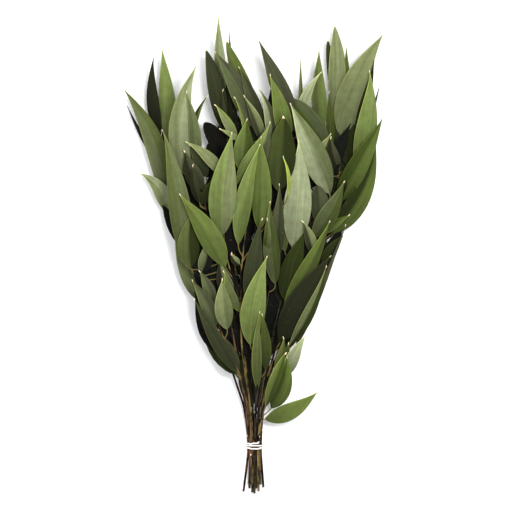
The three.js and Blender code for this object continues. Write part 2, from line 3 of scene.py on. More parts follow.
import bpy
import numpy as np
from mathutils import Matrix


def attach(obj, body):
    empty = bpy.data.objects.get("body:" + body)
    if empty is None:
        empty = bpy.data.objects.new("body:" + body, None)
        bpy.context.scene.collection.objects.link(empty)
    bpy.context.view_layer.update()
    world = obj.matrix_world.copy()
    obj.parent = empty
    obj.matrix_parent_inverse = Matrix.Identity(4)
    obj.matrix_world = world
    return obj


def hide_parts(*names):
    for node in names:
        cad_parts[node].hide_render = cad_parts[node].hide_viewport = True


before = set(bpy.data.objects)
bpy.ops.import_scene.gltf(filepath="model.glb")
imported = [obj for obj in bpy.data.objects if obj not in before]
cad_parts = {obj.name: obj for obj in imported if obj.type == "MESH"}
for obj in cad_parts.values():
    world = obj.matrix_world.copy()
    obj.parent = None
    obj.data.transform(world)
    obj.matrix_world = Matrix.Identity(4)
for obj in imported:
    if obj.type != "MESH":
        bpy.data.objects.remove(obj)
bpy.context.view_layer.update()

# The leafy stems, as they are gathered. Each is one cut shoot of willow eucalyptus, preserved in
# glycerine, with stalked leaves by turns up to its tip. They are laid one over another and tied
# near the cut ends, so every leaf rests on those below it, and the bunch lies on its back.
# Places are millimetres seen from above: cut ends near y = 0, tips near y = 600, x = 0 at the tie.
MM = 0.001
MIDDLE_X = -2.5
MIDDLE_Y = 299.745
TIE_Y = 60
STEM_RADIUS = 1.55
STEM_END_RADIUS = 0.9
ROW_PITCH = 3.1
STRAND_RADIUS = 0.85
SEAT_GAP = 0.35
REST_TRIM = 0.42
TIE_HEIGHT = ROW_PITCH / 2 + STEM_RADIUS + SEAT_GAP + 2 * STRAND_RADIUS - REST_TRIM
CROWN_HEIGHT = 38
SIDE_SAG = 22
SAG_HALF_WIDTH = 130
PRESS_DEPTH = 12
PRESS_DROP = 1.7
TRACE_SPACING = 5
TRACE_ROUNDS = 16
FAN_START = 66
FAN_LENGTH = 110
STEM_LEVELS = [50, 66, 84, 110, 145, 185, 230, 275, 320, 365, 410, 455]
FRONT_CLEARANCE = 1.0
BACK_CLEARANCE = 1.6
OWN_CLEARANCE = 0.4
OWN_FREE = 0.3
LEAVES_FROM = 70
STEM_COVERS_FROM = 110
STEM_CLEARS_FROM = 125
CELL = 2
SHEET_X = (-190, 190)
SHEET_Y = (-10, 620)
STALK_LENGTH = 12
STALK_RADIUS = 0.85
RIB_HALF_THICKNESS = 0.65
CHANNEL = math.radians(9)
BASE_POWER = 0.8
TIP_POWER = 1.4

# The outlines that the leaves inside the bunch keep to: its sides as (y, x), its top as (x, y).
LEFT_SIDE = [(100, -14), (150, -32), (200, -56), (260, -80), (330, -98), (400, -126), (500, -150)]
RIGHT_SIDE = [(100, 14), (150, 32), (200, 58), (260, 82), (330, 104), (400, 138), (500, 144)]
TOP_SIDE = [(-150, 430), (-118, 480), (-84, 445), (-52, 445), (-44, 500), (20, 505), (50, 490),
            (85, 480), (95, 488), (125, 505), (150, 460)]

# Each stem: its row in the tied bundle counted from the back, the tone of its bark, its cut end and
# its way up. A leaf is its base, its tip, width, bow to its right, roll and lift in degrees, and its
# green, or the greens of its left and right halves, one half painted lighter as lit and the other
# darker as shaded. A last number below TIP_POWER makes its tip blunter.
STEMS = {
    "tall_left": dict(
        row=1, bark="red", foot=(-15.6, 2),
        way=[(-8.8, 60), (-13, 104), (-20, 128), (-29, 148), (-48, 215), (-68, 280), (-88, 350),
             (-108, 415), (-118, 450)],
        inside=(150, 340, 6),
        leaves=[
            (-108, 440, -118, 560, 22, 1, 10, 6, "herb"),
            (-120, 448, -128, 549, 17, -6, 30, 4, "dusk"),
            (-128, 420, -163, 489, 6, -1, 40, 4, "night"),
            (-111, 350, -147, 402, 20, 10, 10, 3, "lime/pale"),
            (-74, 243, -103, 338, 21, -1, 5, 3, "green/fern"),
            (-112, 358, -166, 507, 26, 13, -8, 8, "green/fern", 1.2),
        ]),
    "tall_right": dict(
        row=1, bark="dark", foot=(9.4, 7.5),
        way=[(5.6, 60), (8, 100), (11, 130), (22, 163), (44, 220), (68, 285), (88, 345), (103, 400),
             (110, 445)],
        inside=(150, 330, 6),
        leaves=[
            (114, 412, 110, 524, 26, -1, 0, 3, "moss/pine"),
            (108, 485, 113, 561, 11, 2, 30, 4, "olive"),
            (104, 470, 89, 569, 13, 0, 10, 4, "moss", 0.8),
            (97, 471, 98, 587, 22, 4, 8, 6, "lime", 0.95),
            (107, 446, 161, 577, 36, -9, -6, 8, "lime"),
            (124, 452, 148, 545, 14, 3, 45, 3, "dusk"),
            (130, 430, 155, 512, 8, 1, 50, 3, "night"),
            (126, 402, 143, 530, 27, 5, 8, 6, "herb"),
            (93, 324, 150, 441, 27, 13, -12, 4, "pine/olive"),
            (100, 363, 159, 471, 27, 2, 6, 7, "leek/olive"),
        ]),
    "tall_centre_left": dict(
        row=1, bark="olive", foot=(-6.6, 10),
        way=[(-5.2, 60), (-7, 105), (-13, 160), (-22, 250), (-31, 330), (-36, 400), (-40, 450),
             (-42, 488)],
        inside=(142, 400, 9),
        leaves=[
            (-28, 480, -33, 579, 8, -1, 30, 5, "dusk"),
            (-33, 440, -40, 528, 15, 0, 0, 3, "dusk"),
            (-42, 490, -47, 600, 15, -1, 15, 4, "lime/pale"),
            (-42, 455, -63, 557, 22, 3, -10, 5, "moss", 1.0),
            (-36, 445, -42, 506, 11, -2, 25, 6, "dusk/moss"),
            (-33, 405, -65, 464, 22, 4, 0, 4, "night", 0.6),
        ]),
    "tall_centre": dict(
        row=1, bark="dark", foot=(-2.4, 5),
        way=[(-1.6, 60), (-1, 110), (2, 180), (7, 270), (11, 350), (13, 400), (15, 430), (28, 445)],
        inside=(145, 400, 9),
        leaves=[
            (50, 452, 2, 569, 24, 2, -12, 5, "ivy"),
            (14, 450, 18, 508, 14, 2, 25, 4, "night"),
            (10, 448, -38, 567, 21, -1, 12, 6, "fern/olive", 0.9),
            (2, 455, -52, 553, 28, 4, -8, 7, "smoke/ivy"),
            (9, 452, -21, 534, 17, 1, -4, 7, "ivy/moss"),
            (8, 440, -16, 498, 14, 3, 10, 7, "ivy/lime"),
            (19, 436, 3, 507, 15, 6, 15, 8, "pale/ivy"),
            (38, 434, 16, 524, 22, 4, 8, 6, "sage"),
        ]),
    "tall_centre_right": dict(
        row=1, bark="olive", foot=(2.2, 7),
        way=[(2.0, 60), (4, 105), (8, 138), (16, 180), (33, 260), (50, 330), (66, 395), (78, 440),
             (88, 472)],
        inside=(150, 420, 9),
        leaves=[
            (94, 430, 91, 504, 11, 0, 10, 3, "slate/leek"),
            (82, 452, 79, 557, 19, -2, -5, 6, "fern/sage"),
            (58, 440, 56, 548, 8, -1, 40, 4, "green/fern"),
            (54, 455, 82, 528, 15, -7, 12, 5, "pale"),
            (93, 424, 41, 495, 26, 4, -5, 5, "leek/smoke", 0.75),
            (104, 405, 93, 447, 14, -2, 10, 5, "dusk/ivy"),
            (66, 410, 94, 451, 11, 0, 0, 5, "lime"),
        ]),
    "mid_left": dict(
        row=2, bark="brown", foot=(-8.4, 12),
        way=[(-7.0, 60), (-11.5, 105), (-23, 165), (-35, 235), (-48, 300), (-61, 355), (-74, 395),
             (-84, 420)],
        inside=(165, 300, 4),
        leaves=[
            (-24, 150, -46, 207, 26, -3, 8, 4, "pine/ivy"),
            (-80, 440, -60, 498, 8, -5, 20, 3, "dusk/olive"),
            (-87, 398, -73, 537, 29, -14, -8, 7, "lime/pale"),
            (-77, 402, -88, 503, 16, 6, 15, 4, "smoke/green"),
            (-62, 396, -84, 437, 17, 2, 0, 4, "moss"),
            (-66, 378, -89, 430, 22, -3, 5, 4, "dusk/ivy"),
            (-71, 365, -79, 412, 12, -2, 30, 4, "dusk/moss"),
            (-69, 362, -50, 402, 15, 3, 8, 5, "pine"),
            (-89, 292, -116, 456, 28, 5, -5, 5, "fern/green"),
            (-81, 283, -80, 352, 28, -4, 0, 3, "fern/pine"),
            (-69, 275, -60, 322, 18, 3, 6, 3, "green/night"),
        ]),
    "mid_right": dict(
        row=2, bark="dark", foot=(0.4, 6),
        way=[(0.2, 60), (3, 105), (6, 135), (14, 168), (28, 230), (45, 295), (66, 345), (82, 368)],
        inside=(165, 290, 4),
        leaves=[
            (83, 330, 77, 386, 24, 0, 0, 3, "moss/ivy", 0.7),
            (36, 303, 39, 380, 16, -4, 0, 4, "fern"),
            (92, 375, 42, 488, 33, 2, 6, 6, "pale/green"),
            (88, 326, 118, 349, 10, -2, 5, 6, "leek/olive"),
            (70, 320, 110, 392, 24, 4, -8, 5, "smoke/slate"),
            (45, 309, 53, 443, 35, 4, 4, 8, "pale"),
        ]),
    "mid_centre": dict(
        row=2, bark="olive", foot=(-4.6, 1),
        way=[(-3.4, 60), (-6, 100), (-12, 142), (-18, 182), (-20, 216), (-20, 250), (-18, 290),
             (-12, 335)],
        twigs=[[(-20, 240), (-27, 262), (-38, 300), (-41, 325), (-37, 385), (-27, 425)],
               [(-18, 290), (2, 318), (20, 350)]],
        leaves=[
            (-24, 443, -51, 487, 12, 1, 5, 6, "lime/herb"),
            (-19, 441, -46, 456, 7, 1, 5, 6, "lime"),
            (-11, 440, -27, 496, 9, 4, 10, 6, "sage/ivy"),
            (-17, 402, -12, 469, 27, 0, -8, 6, "sage/leek"),
            (-40, 396, -88, 440, 15, 5, 0, 5, "lime"),
            (28, 378, 35, 472, 37, 0, -6, 5, "slate/pine", 1.0),
            (40, 374, 33, 422, 5, 4, 20, 5, "lemon"),
            (-24, 387, 18, 465, 28, 6, 6, 5, "herb/ivy"),
            (4, 330, 5, 447, 25, 3, 4, 6, "olive/sage"),
            (-22, 312, 5, 437, 22, -5, -6, 8, "herb/sage"),
            (-43, 322, -29, 452, 35, -4, -6, 8, "herb/lime"),
            (-20, 287, -31, 302, 10, -2, 10, 5, "dusk/lime"),
            (-31, 243, -46, 294, 20, -2, 0, 4, "dusk/green"),
            (-20, 228, -40, 280, 13, -3, 10, 5, "sage/green"),
            (-38, 284, -96, 375, 29, 4, 5, 9, "olive/sage"),
        ]),
    "low_left": dict(
        row=3, bark="brown", foot=(-6.4, 11),
        way=[(-5.2, 60), (-8, 96), (-13, 127), (-20, 152), (-28, 168), (-38, 188), (-52, 220),
             (-63, 255), (-70, 280)],
        leaves=[
            (-53, 238, -71, 280, 15, 2, 0, 4, "smoke/ivy"),
            (-50, 210, -81, 268, 18, 3, -6, 6, "smoke/ivy"),
            (-36, 206, -42, 270, 23, -2, 0, 7, "lime/green"),
            (-24, 152, -77, 245, 18, -2, -10, 4, "moss"),
        ]),
    "low_right": dict(
        row=2, bark="brown", foot=(5.6, 11),
        way=[(3.8, 60), (7, 100), (10, 130), (18, 158), (28, 195), (38, 240), (52, 277), (66, 300)],
        leaves=[
            (83, 288, 110, 325, 15, -1, 0, 3, "pine"),
            (36, 242, 62, 330, 28, -3, 5, 5, "pine"),
            (72, 299, 58, 342, 15, 2, 10, 6, "moss/lime"),
            (36, 237, 92, 342, 21, 4, -8, 8, "olive/slate"),
            (50, 185, 113, 337, 13, -1, 12, 4, "night/ivy"),
            (30, 190, 93, 299, 34, -3, -4, 6, "dusk"),
            (42, 186, 88, 286, 15, 5, 14, 6, "green/pine"),
        ]),
    "low_centre": dict(
        row=3, bark="dark", foot=(-1.8, -0.5),
        way=[(-1.6, 60), (-0.5, 100), (2, 145), (6, 190), (13, 235), (20, 275)],
        leaves=[
            (25, 290, 30, 388, 17, 0, 12, 5, "ivy/moss"),
            (24, 262, 17, 366, 21, -2, -6, 5, "smoke/slate"),
            (11, 300, 14, 345, 10, 2, 20, 6, "leek/smoke"),
            (-6, 228, 7, 345, 24, -3, 0, 6, "moss"),
            (-7, 187, 14, 298, 31, -5, -5, 8, "herb"),
            (12, 155, 8, 226, 14, 2, 10, 5, "slate"),
            (2, 130, 4, 229, 13, -2, 8, 6, "fern"),
        ]),
    "front_low": dict(
        row=3, bark="olive", foot=(3.4, 2.3),
        way=[(2.0, 60), (4, 84), (8, 104), (14, 128), (22, 152)],
        leaves=[
            (28, 152, 41, 190, 13, 2, 10, 5, "slate"),
            (24, 150, 35, 197, 12, 2, 20, 6, "fern/slate"),
            (37, 147, 62, 199, 17, -2, -10, 5, "pale"),
            (19, 107, 39, 173, 23, 6, 8, 6, "leek/olive"),
            (12, 109, 37, 178, 14, -1, -5, 8, "sage/leek", 1.0),
            (11, 93, 78, 129, 22, 6, -6, 5, "sage"),
        ]),
    "back_centre": dict(
        row=0, bark="dark", foot=(-4.3, 9),
        way=[(-3.4, 60), (-4, 110), (-6, 180), (-4, 260), (2, 340), (12, 410), (22, 455)],
        inside=(125, 440, 15),
        leaves=[
            (24, 455, 24, 514, 20, 2, 10, 5, "green"),
            # These two lie under the stems, painted dark as the shade between the lower stems.
            (-5, 108, -16, 196, 22, -2, 0, 2, "dusk"),
            (3, 106, 10, 192, 22, 2, 0, 2, "dusk"),
        ]),
    "back_left": dict(
        row=0, bark="dark", foot=(-8.2, 6),
        way=[(-7.0, 60), (-13, 110), (-25, 175), (-43, 250), (-60, 325), (-76, 390), (-86, 430)],
        inside=(130, 430, 13),
        leaves=[(-88, 435, -98, 500, 19, -3, 10, 5, "green")]),
    "back_right": dict(
        row=0, bark="dark", foot=(4.2, 12),
        way=[(3.8, 60), (10, 110), (22, 175), (40, 250), (62, 325), (84, 390), (100, 430)],
        inside=(130, 430, 13),
        leaves=[(98, 425, 96, 486, 22, 3, 10, 5, "fern"), (102, 435, 120, 502, 22, 3, 10, 5, "fern")]),
}


# The stems nearest the middle of the bunch are laid first, on either side of it.
LAYING_ORDER = [
    "tall_left", "tall_right", "tall_centre_left", "tall_centre_right", "tall_centre", "mid_left",
    "mid_right", "mid_centre", "low_left", "low_right", "low_centre", "front_low", "back_centre",
    "back_left", "back_right",
]


def blend(low, high, share):
    return low + (high - low) * share


def ease(value, low, high):
    """0 up to low, 1 from high on, and a smooth rise between."""
    share = np.clip((np.asarray(value, float) - low) / (high - low), 0, 1)
    return share * share * (3 - 2 * share)


def scatter(index, step):
    """A fixed number from 0 to 1 for each index."""
    return (index * step) % 1


def lie(points, face=1):
    """Places over or under the bunch's middle, in mm, turned into places over the surface, in m."""
    x, y, u = np.asarray(points, float).T
    crown = blend(TIE_HEIGHT, CROWN_HEIGHT, ease(y, 50, 250))
    sag = SIDE_SAG * (x / SAG_HALF_WIDTH) ** 2 * ease(y, 110, 260)
    z = crown - sag + face * u
    loose = ease(y, 90, 200)
    depth = blend(0.5, PRESS_DEPTH, loose)
    pressed = np.where(z >= depth, z, depth * np.exp(np.minimum(z / depth - 1, 0)))
    height = np.maximum(pressed - PRESS_DROP * loose, 0)
    return np.stack([x - MIDDLE_X, y - MIDDLE_Y, height], axis=1) * MM


class TopSheet:
    """How high the leaves already laid reach, cell by cell."""

    def __init__(self):
        columns = math.ceil((SHEET_X[1] - SHEET_X[0]) / CELL)
        rows = math.ceil((SHEET_Y[1] - SHEET_Y[0]) / CELL)
        self.tops = np.zeros((rows, columns))

    def cells(self, x, y):
        rows, columns = self.tops.shape
        across = np.clip(np.floor((x - SHEET_X[0]) / CELL), 1, columns - 2).astype(int)
        along = np.clip(np.floor((y - SHEET_Y[0]) / CELL), 1, rows - 2).astype(int)
        return along, across

    def top(self, points):
        return self.tops[self.cells(points[..., 0], points[..., 1])]

    def cover(self, points, thickness):
        along, across = self.cells(points[..., 0], points[..., 1])
        for up in (-1, 0, 1):
            for right in (-1, 0, 1):
                np.maximum.at(self.tops, (along + up, across + right), points[..., 2] + thickness)


def divide(points, spacing):
    """Points at most spacing apart along straight legs."""
    made = [points[0]]
    for low, high in zip(points[:-1], points[1:]):
        steps = math.ceil(np.linalg.norm(high - low) / spacing)
        made += [blend(low, high, (k + 1) / steps) for k in range(steps)]
    return np.array(made)


def relax(points, rounds):
    """Corners eased by moving each point towards its neighbours."""
    points = points.copy()
    for _ in range(rounds):
        points[1:-1] = (2 * points[1:-1] + points[:-2] + points[2:]) / 4
    return points


def trace(plan):
    """A smooth way through plan places."""
    return relax(divide(np.array([(x, y, 0.0) for x, y in plan]), TRACE_SPACING), TRACE_ROUNDS)


def fan_out(y):
    """How far a stem has spread from its neighbours in the tied bundle at y."""
    return 1 - np.exp(-np.maximum(0, y - FAN_START) / FAN_LENGTH)


def line_at(line, y):
    """Where a line that climbs in y stands at one y."""
    k = int(np.clip(np.argmax(line[:, 1] >= y), 1, len(line) - 1))
    share = np.clip((y - line[k - 1, 1]) / (line[k, 1] - line[k - 1, 1]), 0, 1)
    return blend(line[k - 1], line[k], share)


def outline_at(outline, at):
    first, second = zip(*outline)
    return float(np.interp(at, first, second))


class Leaf:
    """The midrib of one leaf, its width, and how far it is lifted to clear what it rests on."""

    def __init__(self, place, wood):
        base_x, base_y, tip_x, tip_y, self.width, self.bow, roll, lift = place[:8]
        self.base = np.array([base_x, base_y], float)
        self.chord = np.array([tip_x, tip_y], float) - self.base
        self.length = float(np.hypot(*self.chord))
        self.side = np.array([self.chord[1], -self.chord[0]]) / self.length
        self.roll = math.radians(roll)
        self.rise = math.tan(math.radians(lift))
        start = self.along(0.0)
        wanted = self.base - STALK_LENGTH * start
        self.foot = wood[np.argmin(np.hypot(*(wood[:, :2] - wanted).T))]
        self.stalk = float(np.hypot(*(self.base - self.foot[:2])))
        self.bend = self.base - 0.5 * self.stalk * start
        self.tip_power = place[9] if len(place) > 9 else TIP_POWER
        self.step = 0.0
        self.tilt = 0.0

    def along(self, t):
        way = self.chord + self.side * self.bow * 4 * (1 - 2 * np.asarray(t)[..., None])
        return way / np.linalg.norm(way, axis=-1, keepdims=True)

    def midrib(self, t):
        t = np.asarray(t)[..., None]
        return self.base + self.chord * t + self.side * self.bow * 4 * t * (1 - t)

    def half_width(self, t):
        t, widest = np.clip(t, 0, 1), BASE_POWER / (BASE_POWER + self.tip_power)
        return 0.5 * self.width * (t / widest) ** BASE_POWER * ((1 - t) / (1 - widest)) ** self.tip_power

    def height(self, t):
        """The midrib's height at t, from 0 at the blade's base to 1 at its tip, -1 at the stem."""
        reach = self.stalk + self.length
        gone = np.where(t < 0, self.stalk * (1 + t), self.stalk + self.length * t)
        arch = np.where(t < 0, 0, 1 - (1 - t) ** 2)
        climb = self.rise * gone * (1 - 0.3 * gone / reach)
        return self.foot[2] + climb + self.step * np.minimum(1, gone / self.stalk) + self.tilt * arch

    def blade(self, t, a):
        """Places of the blade at t along it and a across it, from -1 to 1."""
        middle, along = self.midrib(t), self.along(t)
        half = np.maximum(np.where(t < 0.01, STALK_RADIUS, 0), self.half_width(t))
        roll = self.roll * (0.35 + 0.65 * t)
        out = a * half * np.cos(roll)
        up = a * half * np.sin(roll) + np.abs(a) * half * math.sin(CHANNEL)
        return np.stack([middle[:, 0] + along[:, 1] * out, middle[:, 1] - along[:, 0] * out,
                         self.height(t) + up], axis=1)

    def stalk_way(self, t):
        """Places along the stalk for t from -1 to 0, and its direction there."""
        s = (1 + t)[:, None]
        foot = self.foot[:2]
        way = (1 - s) ** 2 * foot + 2 * s * (1 - s) * self.bend + s * s * self.base
        along = (1 - s) * (self.bend - foot) + s * (self.base - self.bend)
        return way, along / np.maximum(np.linalg.norm(along, axis=1, keepdims=True), 1e-9)

    def settle(self, others, own, clearance):
        """Lifts the blade's base and tilts its tip until it clears the leaves beneath."""
        steps = math.ceil(self.length / 1.5)
        t, a = [], []
        for share in np.arange(steps + 1) / steps:
            count = math.ceil(float(self.half_width(share)) / 1.5) + 1
            a.append(np.arange(-count, count + 1) / count)
            t.append(np.full(2 * count + 1, share))
        t, a = np.concatenate(t), np.concatenate(a)
        flat = self.blade(t, a)
        within = np.where(t > OWN_FREE, own.top(flat) + OWN_CLEARANCE, 0)
        floor = np.maximum(others.top(flat) + clearance, within) + RIB_HALF_THICKNESS
        near_base = t < 0.25
        self.step = max(0.0, float((floor - flat[:, 2])[near_base].max()))
        beyond = t >= 0.2
        lifted = self.blade(t, a)[:, 2]
        self.tilt = max(0.0, float(((floor - lifted) / (1 - (1 - t) ** 2 + 1e-12))[beyond].max()))
        own.cover(self.blade(t, a), RIB_HALF_THICKNESS)
        count = math.ceil(self.stalk / 1.5)
        on_stalk = np.arange(1, count) / count - 1
        stalk = np.column_stack([self.stalk_way(on_stalk)[0], self.height(on_stalk)])
        own.cover(stalk, RIB_HALF_THICKNESS)


def leaves_inside(line, greens, low, high, count, seed):
    """Leaves that stand behind the ones in front, left and right by turns, by a fixed scatter."""
    places = []
    for n in reversed(range(count)):
        node = line_at(line, blend(low, high, (n + 0.5) / count))
        ahead = line_at(line, node[1] + 10)
        side = 1 if n % 2 else -1
        index = n + seed * 17 + 1
        heading = math.atan2(ahead[0] - node[0], ahead[1] - node[1])
        angle = 0.6 * heading + side * math.radians(14 + 24 * scatter(index, 0.7549))
        length = 84 + 34 * scatter(index, 0.5698)
        base_x, base_y = node[0] + side * 8, node[1] + 9
        out_x = base_x + length * math.sin(angle)
        tip_y = min(base_y + length * math.cos(angle), outline_at(TOP_SIDE, out_x))
        tip_x = min(max(out_x, outline_at(LEFT_SIDE, tip_y)), outline_at(RIGHT_SIDE, tip_y))
        places.append((base_x, base_y, tip_x, tip_y, 21 + 9 * scatter(index, 0.4301), side * 4,
                       36 * (scatter(index, 0.618) - 0.5), 1 + 3 * scatter(index, 0.3247), greens[n % 3]))
    return places


def lay_stem(stem, seed, others, clearance, least_fan):
    """Lays one stem and its leaves over the ones already on its side of the bunch's middle."""
    start = abs(stem["row"] - 0.5) * ROW_PITCH
    way = trace([stem["foot"], (stem["way"][0][0], TIE_Y - 12), *stem["way"]])
    apex = way[-1, 1]

    def radius(y):
        return blend(STEM_RADIUS, STEM_END_RADIUS, ease(y, 60, apex))

    high = way[way[:, 1] >= STEM_CLEARS_FROM]
    needs = (others.top(high) + clearance + radius(high[:, 1]) - start) / fan_out(high[:, 1])
    fan = max(least_fan, float(needs.max()))
    levels = [way[0, 1], *[y for y in STEM_LEVELS if way[0, 1] + 5 < y < apex - 12], apex]
    knots = np.array([line_at(way, y) for y in levels])
    knots[:, 2] = start + fan * fan_out(knots[:, 1])
    line = divide(knots, TRACE_SPACING)
    own = TopSheet()
    loose = line[line[:, 1] > STEM_COVERS_FROM]
    own.cover(loose, radius(loose[:, 1]))
    twigs = []
    for plan in stem.get("twigs", []):
        twig = trace(plan)
        foot = line_at(line, twig[0, 1])
        share = np.arange(len(twig)) / (len(twig) - 1)
        needs = others.top(twig) + clearance + STEM_END_RADIUS - foot[2]
        climb = max(0.0, float((needs[4:] / share[4:]).max()))
        twig[:, 2] = foot[2] + climb * share
        own.cover(twig[3:], STEM_END_RADIUS)
        twig[0] = foot
        twigs.append(twig)
    wood = np.concatenate([points[:-1][points[:-1, 1] > LEAVES_FROM] for points in [line, *twigs]])
    # Leaves inside the front stems are painted near black (night, deep): painted shade between the leaves in
    # front.
    greens = ("night", "deep", "deep") if stem["row"] else ("pine", "dusk", "moss")
    inside = leaves_inside(line, greens, *stem["inside"], seed) if "inside" in stem else []
    leaves = []
    for place in [*inside, *stem["leaves"]]:
        leaf = Leaf(place, wood)
        leaf.settle(others, own, clearance)
        leaf.greens = (place[8].split("/") * 2)[:2]
        leaf.inside = len(leaves) < len(inside)
        leaves.append(leaf)
    others.tops = np.maximum(others.tops, own.tops)
    return dict(stem, line=line, twigs=twigs, leaves=leaves, radius=radius, fan=fan,
                face=1 if stem["row"] else -1)


laid = {}
front, back = TopSheet(), TopSheet()
for name in LAYING_ORDER:
    row = STEMS[name]["row"]
    least_fan = max([0.0, *[other["fan"] for other in laid.values() if 0 < other["row"] < row]])
    sheet, clearance = (front, FRONT_CLEARANCE) if row else (back, BACK_CLEARANCE)
    laid[name] = lay_stem(STEMS[name], list(STEMS).index(name), sheet, clearance, least_fan)


# The leaves. Each is a leathery lance-shaped blade about 120 mm long and half a millimetre thick,
# with a fine midrib, slanting veins and a pale rim, on a thin stalk that grows from the stem. The
# tips have dried to straw and rust, and the blades are folded a little along their midribs.
STALK_RINGS = [-1, -0.85, -0.68, -0.5, -0.32, -0.16, -0.05]
BLADE_RINGS = [0, 0.006, 0.015, 0.03, 0.05, 0.08, 0.12, 0.165, 0.21, 0.26, 0.31, 0.36, 0.41, 0.46, 0.51,
               0.56, 0.61, 0.66, 0.71, 0.76, 0.81, 0.855, 0.895, 0.93, 0.955, 0.972, 0.985, 0.994, 1]
TIP_HOOK = 1.6
HOOK_FROM = 0.9
STALK_FOOT_HALF = 0.9
STALK_HALF = 0.62
RIM_HALF = 0.45
POINT_HALF = 0.12
BLUNT_BELOW = 0.8
# Deep and night are near black: painted shade, for leaves and halves of leaves that lie in shade in the
# bunch.
GREENS = {
    "deep": "#0A0D08", "night": "#0D0C08", "dusk": "#1A1C0D", "pine": "#1F2608", "moss": "#282C19",
    "leek": "#2F3A10", "slate": "#323A17", "ivy": "#383B27", "smoke": "#42492C", "olive": "#434F1F",
    "fern": "#444C26", "sage": "#4F5B29", "green": "#515837", "herb": "#5C6936", "lime": "#616843",
    "pale": "#787F5F", "lemon": "#78843C",
}


def linear(colour):
    """An sRGB hex colour as the linear RGBA that shaders use."""
    parts = [int(colour[k:k + 2], 16) / 255 for k in (1, 3, 5)]
    return [p / 12.92 if p <= 0.04045 else ((p + 0.055) / 1.055) ** 2.4 for p in parts] + [1.0]


def add(tree, kind, inputs=None, **settings):
    """Adds one node with its settings, and sets or links its inputs by name or by number."""
    node = tree.nodes.new(kind)
    for key, value in settings.items():
        setattr(node, key, value)
    sockets = [socket for socket in node.inputs if socket.enabled]
    for key, value in (inputs or {}).items():
        socket = sockets[key] if isinstance(key, int) else next(s for s in sockets if s.name == key)
        if isinstance(value, bpy.types.Node):
            value = next(output for output in value.outputs if output.enabled)
        if isinstance(value, bpy.types.NodeSocket):
            tree.links.new(value, socket)
        else:
            socket.default_value = value
    return node


def guide(name, chains, closed=False, **numbers):
    """Chains of points in metres, joined by edges, with the numbers that each point carries."""
    mesh = bpy.data.meshes.new(name)
    edges, first = [], 0
    for chain in chains:
        last = first + len(chain) - 1
        edges += [(k, k + 1) for k in range(first, last)]
        edges += [(last, first)] if closed else []
        first = last + 1
    mesh.from_pydata(np.concatenate(chains), edges, [])
    for key, values in numbers.items():
        values = np.asarray(values, float)
        width = values.shape[1] if values.ndim > 1 else 1
        kinds = {1: ("FLOAT", "value"), 3: ("FLOAT_VECTOR", "vector"), 4: ("FLOAT_COLOR", "color")}
        kind, field = kinds[width]
        mesh.attributes.new(key, kind, "POINT").data.foreach_set(field, values.ravel())
    made = bpy.data.objects.new(name, mesh)
    bpy.context.scene.collection.objects.link(made)
    return made


def grow(guide_object, name, tree, sizes):
    """Runs a node tree of these sizes over a guide and keeps what it makes as a plain mesh."""
    modifier = guide_object.modifiers.new("Grow", "NODES")
    modifier.node_group = tree
    for item in tree.interface.items_tree:
        if item.name in sizes:
            modifier[item.identifier] = sizes[item.name]
    depsgraph = bpy.context.evaluated_depsgraph_get()
    mesh = bpy.data.meshes.new_from_object(
        guide_object.evaluated_get(depsgraph), preserve_all_data_layers=True, depsgraph=depsgraph)
    bpy.data.objects.remove(guide_object)
    mesh.name = name
    piece = bpy.data.objects.new(name, mesh)
    bpy.context.scene.collection.objects.link(piece)
    return piece


def press(piece):
    """The bunch lies on a table, so what would dip below it is pressed flat."""
    places = np.array([v.co for v in piece.data.vertices])
    places[:, 2] = np.maximum(places[:, 2], 0)
    piece.data.vertices.foreach_set("co", places.ravel())
    piece.data.update()


def blank(name):
    """A material with nothing in it yet."""
    material = bpy.data.materials.new(name)
    material.use_nodes = True
    material.node_tree.nodes.clear()
    return material


def pattern(name, ways, sizes, made):
    """A node tree with nothing in it yet: ways and named sizes go in, and a mesh comes out."""
    tree = bpy.data.node_groups.new(name, "GeometryNodeTree")
    tree.interface.new_socket(ways, in_out="INPUT", socket_type="NodeSocketGeometry")
    for label in sizes:
        tree.interface.new_socket(label, in_out="INPUT", socket_type="NodeSocketFloat")
    tree.interface.new_socket(made, in_out="OUTPUT", socket_type="NodeSocketGeometry")
    return tree, add(tree, "NodeGroupInput").outputs


def sleeve(tree, ways, sides, radius):
    """A closed skin along the ways, whose points know their ring's middle and their place in it."""
    here = add(tree, "GeometryNodeInputPosition")
    way = add(tree, "GeometryNodeMeshToCurve", {"Mesh": ways})
    way = add(tree, "GeometryNodeStoreNamedAttribute", {
        "Geometry": way, "Name": "middle", "Value": here}, data_type="FLOAT_VECTOR", domain="POINT")
    ring = add(tree, "GeometryNodeCurvePrimitiveCircle", {"Resolution": sides, "Radius": radius})
    ring = add(tree, "GeometryNodeStoreNamedAttribute", {
        "Geometry": ring, "Name": "section", "Value": here}, data_type="FLOAT_VECTOR", domain="POINT")
    return add(tree, "GeometryNodeCurveToMesh", {"Curve": way, "Profile Curve": ring, "Fill Caps": True})


def end(tree, mesh, material):
    """The last nodes of a tree: one smooth mesh in its material."""
    mesh = add(tree, "GeometryNodeRealizeInstances", {"Geometry": mesh})
    mesh = add(tree, "GeometryNodeSetShadeSmooth", {"Geometry": mesh, "Shade Smooth": True})
    mesh = add(tree, "GeometryNodeSetMaterial", {"Geometry": mesh, "Material": material})
    add(tree, "NodeGroupOutput", {0: mesh})


